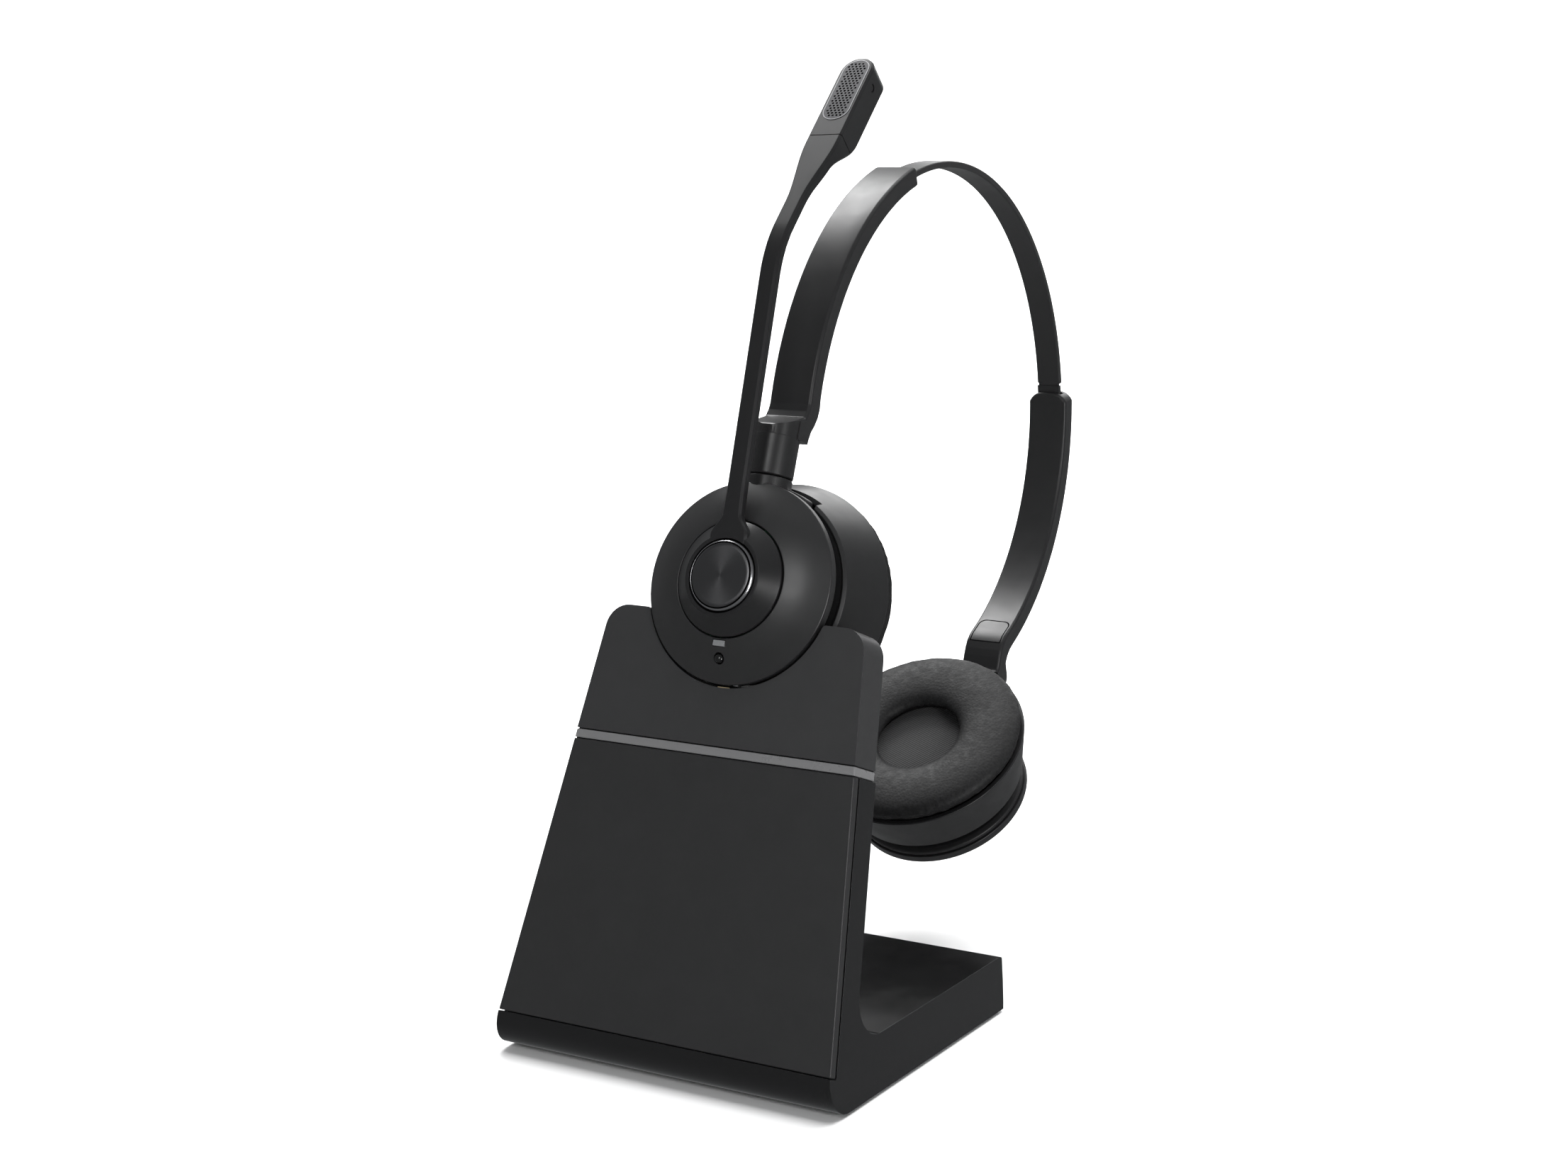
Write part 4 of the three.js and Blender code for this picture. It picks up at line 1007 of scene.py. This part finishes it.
# ---------------------------------------------------------------- arms and band
class Arm:
    """One arm: an arc beside the head band, its elbow and the round neck below it."""

    def __init__(self, side):
        left = side == "left"
        self.side = side
        self.place = LEFT if left else RIGHT
        centre = in_frame(self.place, JOINTS[side + "_slide"]["pos_m"])
        self.centre = (centre.y, centre.z)
        self.shift = (-1.1, -1.8) if left else (-2.7, 7.4)
        self.over, self.depth = (3.3, 5.6) if left else (-5.2, 5.9)
        self.elbow, self.mouth = (-4.2, 53.6) if left else (-9.7, 58.6)
        self.half = band_size("arm_width") / 2

    def point(self, inset, angle):
        """(y, z) on the arm's arc, in from its outer face."""
        radius = band_size("band_outer") + self.over - inset
        t = math.radians(angle)
        return (self.centre[0] + self.shift[0] - radius * math.cos(t),
                self.centre[1] + self.shift[1] + radius * math.sin(t))

    def inner_elbow(self):
        y, z = self.point(self.depth, self.elbow)
        return [(y, z), (y + 0.5, z - 3), (y + 0.2, z - 5.6)]


NECK_BOTTOM, NECK_TOP = 29.4, 40.6


def upright(name, radius, y, low, high, place, edge=0.0, sides=96):
    """Round post standing along z."""
    profile = rounded([(0, low), (radius, low, edge), (radius, high, edge), (0, high)], steps=4)
    return turned(name, profile,
                  place @ Matrix.Translation((0, y, 0)) @ Matrix.Rotation(math.radians(90), 4, "X"), sides)


def ring_sector(name, centre, inner, outer, start, end, half, place):
    """Stretch of a ring in the (y, z) plane; its angles run from the top towards +y."""
    steps = max(4, math.ceil(abs(end - start) / 1.5))
    turns = [math.radians(start + (end - start) * i / steps) for i in range(steps + 1)]
    outline = [(centre[0] + outer * math.sin(t), centre[1] + outer * math.cos(t)) for t in turns]
    outline += [(centre[0] + inner * math.sin(t), centre[1] + inner * math.cos(t)) for t in reversed(turns)]
    return prism(name, outline, "x", -half, half, place)


def cover_solid(spec, name, grow):
    """Cover let into an arm's inner face, or with some growth the recess that it lies in."""
    edge = [spec.point(spec.depth, spec.elbow + 3 - 3 * i / 4) for i in range(4)] + spec.inner_elbow()
    top = edge[0][1] + grow
    low = edge[-1][1] - grow
    outer = [(y + (1 if grow else 0.02), z) for y, z in edge]
    outer[0], outer[-1] = (outer[0][0], top), (outer[-1][0], low)
    inner = [(y - 1.2 - grow, z) for y, z in edge]
    inner[0], inner[-1] = (inner[0][0], top), (inner[-1][0], low)
    solid = prism(name, outer + inner[::-1], "x", -spec.half, spec.half, spec.place)
    half = spec.half - 1.4 + grow
    front = rounded([(-half, low, 0.4), (half, low, 0.4), (half, top, 2.2), (-half, top, 2.2)], steps=6)
    return join_shape(solid, [prism("trim", front, "y", -60, 60, spec.place)], "INTERSECT")


def swivel_bore(place):
    depth = band_size("neck_depth")
    bore = upright("bore", 3.3, depth, NECK_BOTTOM - 1, NECK_BOTTOM + 6.2, place, sides=48)
    chamber = upright("chamber", 4.4, depth, NECK_BOTTOM + 6, NECK_BOTTOM + 8.7, place, sides=48)
    return [bore, chamber]


def mouth_trim(spec):
    """Block round an arm that gives its upper end the outline of a rounded tongue."""
    y, z = spec.point(spec.depth / 2, spec.mouth)
    turn = Matrix.Translation((0, y, z)) @ Matrix.Rotation(math.radians(-spec.mouth), 4, "X")
    wide = spec.half + 0.5
    outline = rounded([(-wide, -200), (wide, -200), (wide, 0, 5.2), (-wide, 0, 5.2)], steps=10)
    return prism("mouth", outline, "y", -150, 150, spec.place @ turn)


def make_arm(side):
    spec = Arm(side)
    place, half = spec.place, spec.half
    depth, radius = band_size("neck_depth"), band_size("neck_radius")
    front, back = depth - radius, depth + radius
    turns = [spec.elbow + (spec.mouth - spec.elbow) * i / 40 for i in range(41)]
    start_y, start_z = spec.point(spec.depth, spec.elbow)
    outer_y, _ = spec.point(0, spec.elbow)
    outline = [spec.point(0, angle) for angle in turns]
    outline += [spec.point(spec.depth, angle) for angle in reversed(turns)]
    outline += rounded([(start_y, start_z), (start_y + 0.5, start_z - 3), (start_y + 0.2, start_z - 5.6, 3),
                        (start_y - 0.8, start_z - 8, 3), (start_y - 2, start_z - 10, 3),
                         (back, NECK_TOP + 0.5, 1.5),
                        (back, NECK_TOP - 2.4), (front, NECK_TOP - 2.4), (front, NECK_TOP + 2),
                        (outer_y - 1, NECK_TOP + 6, 1), (outer_y - 0.1, NECK_TOP + 8, 1),
                        (outer_y + 0.2, NECK_TOP + 10, 1), spec.point(0, spec.elbow)],
                        steps=4, closed=False)[1:-1]
    body = prism(side + "_arm_shell", outline, "x", -half, half, place)
    if side == "right":
        join_shape(body, [mouth_trim(spec)], "INTERSECT")
    rim_step = body.modifiers.new("edges", "BEVEL")
    rim_step.width, rim_step.segments = 0.9 * MM, 4
    rim_step.limit_method, rim_step.angle_limit = "ANGLE", math.radians(50)
    rim_step.use_clamp_overlap = False
    settle(body)
    corner = block("corner", (-20, -10, NECK_TOP - 5), (20, depth, NECK_TOP + 7.4), place)
    join_shape(corner, [upright("keep", radius - 0.04, depth, NECK_BOTTOM, NECK_TOP + 20, place)])
    foot = block("foot", (-20, -10, NECK_BOTTOM - 4), (20, 30, NECK_TOP - 0.4), place)
    join_shape(body, [corner, foot])
    neck = upright("neck", radius, depth, NECK_BOTTOM, NECK_TOP, place, 0.5)
    join_shape(body, [neck], "UNION")
    band, thick = band_size("band_outer"), band_size("band_depth")
    hidden = 0.9
    if side == "left":
        cuts = [ring_sector("slot", spec.centre, band - hidden - 0.3, band + 0.3, -62.2, -25.6, 3.7, place)]
    else:
        entry = -28.8
        wide = band_size("band_width") / 2 + 0.3
        cuts = [ring_sector("slot", spec.centre, band - thick - 0.3, band + 0.3,
                            entry - 14.8, entry + 12, wide, place),
                ring_sector("slot", spec.centre, band - thick - 0.3, band - thick + hidden + 0.3,
                            entry - 28.8, entry, 3.7, place)]
    cuts += [cover_solid(spec, "recess", 0.25)] + swivel_bore(place)
    join_shape(body, cuts)
    soften(body, 0.0, smooth=35)
    seat(body, side + "_arm", finish("arm"), [side + "_arm"])
    cover = cover_solid(spec, side + "_inner_cover", 0)
    soften(cover, 0.22, 2, smooth=40)
    seat(cover, side + "_arm", finish("arm"), [side + "_arm_cover"])


def make_band():
    centre = in_frame(LEFT, JOINTS["left_slide"]["pos_m"])
    centre = (centre.y, centre.z)
    outer, thick, half = band_size("band_outer"), band_size("band_depth"), band_size("band_width") / 2
    band = ring_sector("spring_band", centre, outer - thick, outer,
                       BAND_MOUTHS[0] + 0.35, BAND_MOUTHS[1] - 0.35, half, LEFT)
    step = band.modifiers.new("edges", "BEVEL")
    step.width, step.segments = 0.5 * MM, 4
    step.limit_method, step.angle_limit = "ANGLE", math.radians(50)
    settle(band)
    tongues = [ring_sector("tongue", centre, outer - 0.9, outer - 0.04,
                           BAND_MOUTHS[0] - 24, BAND_MOUTHS[0] + 2, 3.4, LEFT),
               ring_sector("tongue", centre, outer - thick + 0.04, outer - thick + 0.9,
                           BAND_MOUTHS[1] - 2, BAND_MOUTHS[1] + 14, 3.4, LEFT)]
    join_shape(band, tongues, "UNION")
    soften(band, 0, smooth=35)
    seat(band, "band", finish("satin"), ["head_band"])


# ---------------------------------------------------------------- ear cups
def make_yoke(side, place):
    front, back, lower, half = 3.7, 7.6, 19.5, 12.8
    depth, radius = band_size("neck_depth"), band_size("neck_radius")
    rim = cup_size("shell_near_radius")
    saddle = block(side + "_bracket", (-half, front, lower), (half, back, 60), place)
    join_shape(saddle, [turned("round", rounded([(0, 0), (rim, 0), (rim, 20), (0, 20)]), place)], "INTERSECT")
    soften(saddle, 0.5, 3)
    collar = upright("collar", radius, depth, rim - 3, NECK_BOTTOM - 0.3, place, 0.3)
    join_shape(collar, [block("flat", (-20, 8.2, 20), (20, 20, 40), place)])
    knob = [(3.2 * math.sin(t), 8.6 - 3.2 * math.cos(t)) for t in np.linspace(0, math.pi, 17)]
    knob[0], knob[-1] = (0, knob[0][1]), (0, knob[-1][1])
    join_shape(saddle, [
        block("tongue", (-6, front + 0.01, -6), (6, front + 1.5, lower + 2), place), collar,
        block("root", (-5, front + 0.02, lower + 4), (5, 8.19, rim + 1), place),
        turned("stem", [(0, front + 1), (1.9, front + 1), (1.9, 8.6), (0, 8.6)], place, 32),
        turned("knob", knob, place, 48),
        upright("spigot", 3, depth, rim + 1, NECK_BOTTOM + 6.2, place, sides=48)], "UNION")
    join_shape(saddle, [upright("screw_way", 1.5, depth, NECK_BOTTOM - 1.4, NECK_BOTTOM + 20, place,
                                sides=24)])
    soften(saddle, 0, smooth=35)
    seat(saddle, side + "_cup", finish("shell"), [side + "_yoke"])


def make_ear_shell(side, place):
    near, far = cup_size("shell_near"), cup_size("shell_far")
    small, large = cup_size("shell_near_radius"), cup_size("shell_far_radius")
    slope = (large - small) / (far - near)
    wall, socket = (near + 0.5, near + 2.2), 3.7
    profile = rounded([(socket, wall[0]), (small - 1.6, wall[0]), (small - 0.9, near, 0.3),
                       (small, near + 0.7, 0.5), (large, far, 0.35), (large - 1.6, far, 0.2),
                       (small - 1.6 + slope * 3.2, wall[1] + 1), (small - 3, wall[1]),
                       (socket, wall[1])], steps=4)
    shell = turned(side + "_ear_housing", profile, place)
    join_shape(shell, [block("notch", (-14, 0, 19), (14, near + 3.8, 60), place)])
    soften(shell, 0, smooth=32)
    seat(shell, side + "_ear", finish("shell"), [side + "_ear_shell"])
    disc = 14.5
    face = ([(0, 22.12)] + [(disc * k / 6, 22.12 - 0.25 * (k / 6) ** 2) for k in range(1, 7)]
            + [(disc, 21.7), (0, 21.7)])
    cloth = soften(turned(side + "_cloth", face, place, 64), 0, smooth=40)
    seat(cloth, side + "_ear", finish(side + " cloth"), [side + "_speaker_cloth"])


def cushion_start(name, place, inset):
    """Cushion before it swells: a ring, flat against the shell and crowned towards the ear."""
    low, face = cup_size("shell_far") + 0.32, cup_size("cushion_face") - inset
    outer, hole = cup_size("cushion_radius") - inset, cup_size("cushion_hole") + 0.2 + inset
    middle, half = (outer + hole) / 2, (outer - hole) / 2
    crown = []
    for i in range(21):
        t = math.pi * i / 20
        crown.append((middle + half * math.cos(t), low + 1.4 + (face - low - 1.4) * math.sin(t) ** 0.62))
    return turned(name, [(hole + 2.4, low), (outer - 1.2, low)] + crown, place, 160)


def make_cushion(side, place):
    start = 0.55
    cushion = cushion_start(side + "_ear_cushion", place, start)
    remesh = cushion.modifiers.new("voxels", "REMESH")
    remesh.mode, remesh.voxel_size = "VOXEL", 1.25 * MM
    settle(cushion)
    own = place.inverted()
    mesh = cushion.data
    rest = np.empty(len(mesh.vertices) * 3)
    mesh.vertices.foreach_get("co", rest)
    low = cup_size("shell_far")
    base = [v.index for v in mesh.vertices if (own @ v.co).y < low + 1.3]
    cushion.vertex_groups.new(name="sewn").add(base, 1.0, "REPLACE")
    step = cushion.modifiers.new("stuffing", "CLOTH")
    step.settings.quality = 5
    step.settings.mass = 0.12
    step.settings.use_pressure = True
    step.settings.uniform_pressure_force = 4
    step.settings.tension_stiffness = 18
    step.settings.compression_stiffness = 18
    step.settings.bending_stiffness = 0.6
    step.settings.effector_weights.gravity = 0
    step.settings.vertex_group_mass = "sewn"
    step.collision_settings.use_collision = False
    step.point_cache.frame_start, step.point_cache.frame_end = 1, SWELL_FRAMES
    for number in range(1, SWELL_FRAMES + 1):
        bpy.context.scene.frame_set(number)
    settle(cushion)
    bpy.context.scene.frame_set(1)
    cushion.vertex_groups.clear()
    mesh = cushion.data
    swollen = np.empty(len(mesh.vertices) * 3)
    mesh.vertices.foreach_get("co", swollen)
    before, after = rest.reshape(-1, 3), swollen.reshape(-1, 3)
    move = after - before
    size = np.linalg.norm(move, axis=1, keepdims=True)
    limit = MOST_SWELL * MM
    after = before + move * np.minimum(1, limit / np.maximum(size, 1e-9))
    mesh.vertices.foreach_set("co", after.ravel())
    mesh.update()
    smooth = cushion.modifiers.new("even", "SMOOTH")
    smooth.factor, smooth.iterations = 0.5, 4
    finer = cushion.modifiers.new("finer", "SUBSURF")
    finer.levels = finer.render_levels = 1
    settle(cushion)
    shape_cushion(cushion, place)
    cushion.data.shade_smooth()
    seat(cushion, side + "_ear", finish("leather"), [side + "_cushion"])


def shape_cushion(cushion, place):
    """Puckers along the seams and a stitched groove round the outside, kept inside the cushion's space."""
    own = place.inverted()
    low, face = cup_size("shell_far") + 0.3, cup_size("cushion_face")
    outer, hole = cup_size("cushion_radius"), cup_size("cushion_hole")
    groove = low + 1.7
    for vertex in cushion.data.vertices:
        spot = own @ vertex.co
        radius, around = math.hypot(spot.x, spot.z), math.atan2(spot.x, spot.z)
        height = spot.y
        middle = (outer + hole) / 2
        outward = 1 if radius > middle else -1
        side_share = max(0.0, 1 - (height - low) / 4.5)
        pucker = math.sin(around * 46 + 1.7 * math.sin(around * 5)) + 0.6 * math.sin(around * 29 + 1)
        move = -0.07 * side_share * (1 + pucker) * outward
        if outward > 0:
            move -= 0.45 * math.exp(-((height - groove) / 0.42) ** 2)
        radius = min(outer, max(hole, radius + move))
        height = min(face, max(low, height))
        height += 0.05 * math.sin(around * 9 + 0.8) * math.sin(math.pi * (radius - hole) / (outer - hole))
        vertex.co = place @ Vector((radius * math.sin(around), min(face, height), radius * math.cos(around)))
    cushion.data.update()


# ---------------------------------------------------------------- finishes of the plain solids
CARRIED = {
    "bottom_plate": "gloss", "rubber_pad": "rubber", "ballast_weight": "steel", "charging_board": "board",
    "contact_block": "inner", "contact_pin_wide": "gold", "contact_pin_narrow": "steel",
    "charge_contact_wide": "gold", "charge_contact_narrow": "steel", "headset_board": "board",
    "button_carrier": "inner", "call_switch": "steel", "battery": "cell", "mic_capsule": "painted shade black",
    "rear_mic_capsule": "painted shade black", "left_swivel_screw": "steel", "right_swivel_screw": "steel",
    "left_baffle": "inner", "right_baffle": "inner", "left_speaker": "steel", "right_speaker": "steel",
    "base_screw_1": "steel", "base_screw_2": "steel", "base_screw_3": "steel", "base_screw_4": "steel",
    "usb_socket": "steel",
}


def finish_solids():
    for node, name in CARRIED.items():
        piece = bpy.data.objects[node]
        piece.data.materials.clear()
        piece.data.materials.append(finish(name))


# ---------------------------------------------------------------- stage
def make_stage():
    work = bmesh.new()
    sweep = [(-3.0, 0.0), (2.2, 0.0)] + [(2.2 + 0.8 * math.sin(t), 0.8 - 0.8 * math.cos(t))
                                        for t in np.linspace(0.1, math.pi / 2, 14)] + [(3.0, 4.0)]
    rows = [[work.verts.new((x, y, z)) for x in (-4, 4)] for y, z in sweep]
    for near, far in zip(rows, rows[1:]):
        work.faces.new((near[0], near[1], far[1], far[0]))
    mesh = bpy.data.meshes.new("floor")
    work.to_mesh(mesh)
    work.free()
    mesh.shade_smooth()
    floor = bpy.data.objects.new("floor", mesh)
    bpy.context.scene.collection.objects.link(floor)
    shader = Shader("floor paper")
    shader.tint(shader.noise(3), (0.82, 0.82, 0.82, 1), 0.01)
    shader.set(Roughness=0.85, Specular_IOR_Level=0.2)
    mesh.materials.append(shader.material)
    floor.visible_glossy = False
    world = bpy.data.worlds.new("studio")
    world.use_nodes = True
    world.node_tree.nodes["Background"].inputs["Color"].default_value = (0.96, 0.98, 1, 1)
    world.node_tree.nodes["Background"].inputs["Strength"].default_value = 0.26
    bpy.context.scene.world = world
    middle = (0, 0.02, 0.13)
    lights = [("top left softbox", (-0.52, 0.42, 0.95), middle, 0.4, 0.4, 5.5),
              ("right strip", (0.95, -0.5, 0.12), middle, 0.12, 0.6, 7),
              ("front softbox", (0.12, -0.9, 0.62), middle, 0.35, 0.35, 2.6),
              ("back softbox", (-0.2, 1.1, 0.6), middle, 0.6, 0.4, 3.5),
              ("floor light", (0.2, 0.6, 2.4), (0.2, 0.6, 0), 2.5, 2.5, 95),
              ("backdrop light", (0, 1.2, 2.2), (-0.6, 3.0, 0.7), 3, 1, 110),
              ("left backdrop light", (-2.2, 0.8, 2.2), (-2.6, 3.0, 0.9), 3, 1, 110)]
    for name, place, target, wide, tall, power in lights:
        data = bpy.data.lights.new(name, "AREA")
        data.shape, data.size, data.size_y, data.energy = "RECTANGLE", wide, tall, power
        lamp = bpy.data.objects.new(name, data)
        lamp.location = place
        lamp.rotation_euler = (Vector(target) - Vector(place)).to_track_quat("-Z", "Y").to_euler()
        lamp.visible_glossy = name != "floor light"
        bpy.context.scene.collection.objects.link(lamp)
    bpy.context.scene.view_settings.view_transform = "Standard"
    camera_data = bpy.data.cameras.new("camera")
    camera_data.lens, camera_data.sensor_width = 57.76, 36
    camera_data.clip_start = 0.01
    camera = bpy.data.objects.new("camera", camera_data)
    camera.location = (0.333947, -0.556865, 0.234839)
    turn, drop = math.radians(30.319), math.radians(9.921)
    forward = Vector((-math.sin(turn) * math.cos(drop), math.cos(turn) * math.cos(drop), -math.sin(drop)))
    camera.rotation_euler = forward.to_track_quat("-Z", "Y").to_euler()
    bpy.context.scene.collection.objects.link(camera)
    bpy.context.scene.camera = camera


def make_usb_socket():
    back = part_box("usb_socket")[1].y / MM
    outline = rounded([(-4.7, 5.0), (4.7, 5.0), (4.7, 8.6), (-4.7, 8.6)], 1.75, 6)
    inner = rounded([(-4.15, 5.55), (4.15, 5.55), (4.15, 8.05), (-4.15, 8.05)], 1.2, 6)
    shell = prism("usb_inlet", outline, "y", back - 11.4, back, WORLD)
    join_shape(shell, [prism("inside", inner, "y", back - 9.4, back + 3, WORLD)])
    join_shape(shell, [block("tongue", (-3.2, back - 9.5, 6.5), (3.2, back - 1.5, 7.1))], "UNION")
    soften(shell, 0.12, 2)
    seat(shell, "stand", finish("steel"), ["usb_socket"])


# ---------------------------------------------------------------- operators
class HEADSET_OT_stand_body(bpy.types.Operator):
    """Make the stand's leaning slab and hollow foot"""
    bl_idname = "headset.stand_body"
    bl_label = "Stand body"

    def execute(self, context):
        make_stand_body()
        return {"FINISHED"}


class HEADSET_OT_front_plates(bpy.types.Operator):
    """Make the lower front plate and the accent strip"""
    bl_idname = "headset.front_plates"
    bl_label = "Front plates"

    def execute(self, context):
        make_front_plates()
        return {"FINISHED"}


class HEADSET_OT_cradle(bpy.types.Operator):
    """Make the cradle with its round cut-out for the docked cup"""
    bl_idname = "headset.cradle"
    bl_label = "Cradle"

    def execute(self, context):
        make_cradle()
        return {"FINISHED"}


class HEADSET_OT_usb_inlet(bpy.types.Operator):
    """Make the charging inlet in the back of the foot"""
    bl_idname = "headset.usb_inlet"
    bl_label = "USB inlet"

    def execute(self, context):
        make_usb_socket()
        return {"FINISHED"}


class HEADSET_OT_discs(bpy.types.Operator):
    """Make both cups' discs, the plain hub and the rear caps"""
    bl_idname = "headset.discs"
    bl_label = "Outer discs"

    def execute(self, context):
        make_discs()
        return {"FINISHED"}


class HEADSET_OT_call_button(bpy.types.Operator):
    """Make the spun call button and its bright ring"""
    bl_idname = "headset.call_button"
    bl_label = "Call button"

    def execute(self, context):
        make_button()
        return {"FINISHED"}


class HEADSET_OT_small_controls(bpy.types.Operator):
    """Make the status window, pairing button and rocker"""
    bl_idname = "headset.small_controls"
    bl_label = "Small controls"

    def execute(self, context):
        make_small_controls()
        return {"FINISHED"}


class HEADSET_OT_boom(bpy.types.Operator):
    """Make the boom with its turning hub"""
    bl_idname = "headset.boom"
    bl_label = "Boom"

    def execute(self, context):
        make_boom()
        return {"FINISHED"}


class HEADSET_OT_microphone(bpy.types.Operator):
    """Make the microphone's housing and perforated grille"""
    bl_idname = "headset.microphone"
    bl_label = "Microphone head"

    def execute(self, context):
        make_microphone()
        make_grille()
        return {"FINISHED"}


class HEADSET_OT_arms(bpy.types.Operator):
    """Make both arms with their inner covers"""
    bl_idname = "headset.arms"
    bl_label = "Arms"

    def execute(self, context):
        for side in ("left", "right"):
            make_arm(side)
        return {"FINISHED"}


class HEADSET_OT_band(bpy.types.Operator):
    """Make the spring band with its hidden tongues"""
    bl_idname = "headset.band"
    bl_label = "Head band"

    def execute(self, context):
        make_band()
        return {"FINISHED"}


class HEADSET_OT_yokes(bpy.types.Operator):
    """Make the brackets that the ear shells tilt on"""
    bl_idname = "headset.yokes"
    bl_label = "Brackets"

    def execute(self, context):
        for side, place in SIDES.items():
            make_yoke(side, place)
        return {"FINISHED"}


class HEADSET_OT_ear_shells(bpy.types.Operator):
    """Make the ear shells and the cloth over their speakers"""
    bl_idname = "headset.ear_shells"
    bl_label = "Ear shells"

    def execute(self, context):
        for side, place in SIDES.items():
            make_ear_shell(side, place)
        return {"FINISHED"}


class HEADSET_OT_cushions(bpy.types.Operator):
    """Make the padded leatherette cushions"""
    bl_idname = "headset.cushions"
    bl_label = "Cushions"

    def execute(self, context):
        for side, place in SIDES.items():
            make_cushion(side, place)
        return {"FINISHED"}


class HEADSET_OT_plain_solids(bpy.types.Operator):
    """Give the boards, contacts, screws and other solids their finishes"""
    bl_idname = "headset.plain_solids"
    bl_label = "Inner solids"

    def execute(self, context):
        finish_solids()
        return {"FINISHED"}


class HEADSET_OT_stage(bpy.types.Operator):
    """Make the floor, the lights and the camera"""
    bl_idname = "headset.stage"
    bl_label = "Stage"

    def execute(self, context):
        make_stage()
        return {"FINISHED"}


OPERATORS = (
    HEADSET_OT_stand_body,
    HEADSET_OT_front_plates,
    HEADSET_OT_cradle,
    HEADSET_OT_usb_inlet,
    HEADSET_OT_discs,
    HEADSET_OT_call_button,
    HEADSET_OT_small_controls,
    HEADSET_OT_boom,
    HEADSET_OT_microphone,
    HEADSET_OT_arms,
    HEADSET_OT_band,
    HEADSET_OT_yokes,
    HEADSET_OT_ear_shells,
    HEADSET_OT_cushions,
    HEADSET_OT_plain_solids,
    HEADSET_OT_stage,
)
SETTINGS = {"headset_stand": HeadsetStandSizes, "headset_cups": HeadsetCupSizes,
            "headset_band": HeadsetBandSizes, "headset_colours": HeadsetColours}


class HEADSET_PT_panel(bpy.types.Panel):
    """Lists the pieces and the sizes of the headset and its stand"""
    bl_idname = "HEADSET_PT_panel"
    bl_label = "Headset"
    bl_space_type = "VIEW_3D"
    bl_region_type = "UI"
    bl_category = "Headset"

    def draw(self, context):
        for kind in OPERATORS:
            self.layout.operator(kind.bl_idname)
        for name, kind in SETTINGS.items():
            box = self.layout.box()
            group = getattr(context.scene, name)
            for size in kind.__annotations__:
                box.prop(group, size)


def register():
    for kind in (*SETTINGS.values(), *OPERATORS, HEADSET_PT_panel):
        bpy.utils.register_class(kind)
    for name, kind in SETTINGS.items():
        setattr(bpy.types.Scene, name, bpy.props.PointerProperty(type=kind))


def unregister():
    for name in SETTINGS:
        delattr(bpy.types.Scene, name)
    for kind in reversed((*SETTINGS.values(), *OPERATORS, HEADSET_PT_panel)):
        bpy.utils.unregister_class(kind)


def main():
    register()
    for kind in OPERATORS:
        getattr(bpy.ops.headset, kind.bl_idname.split(".")[1])()


if __name__ == "__main__":
    main()
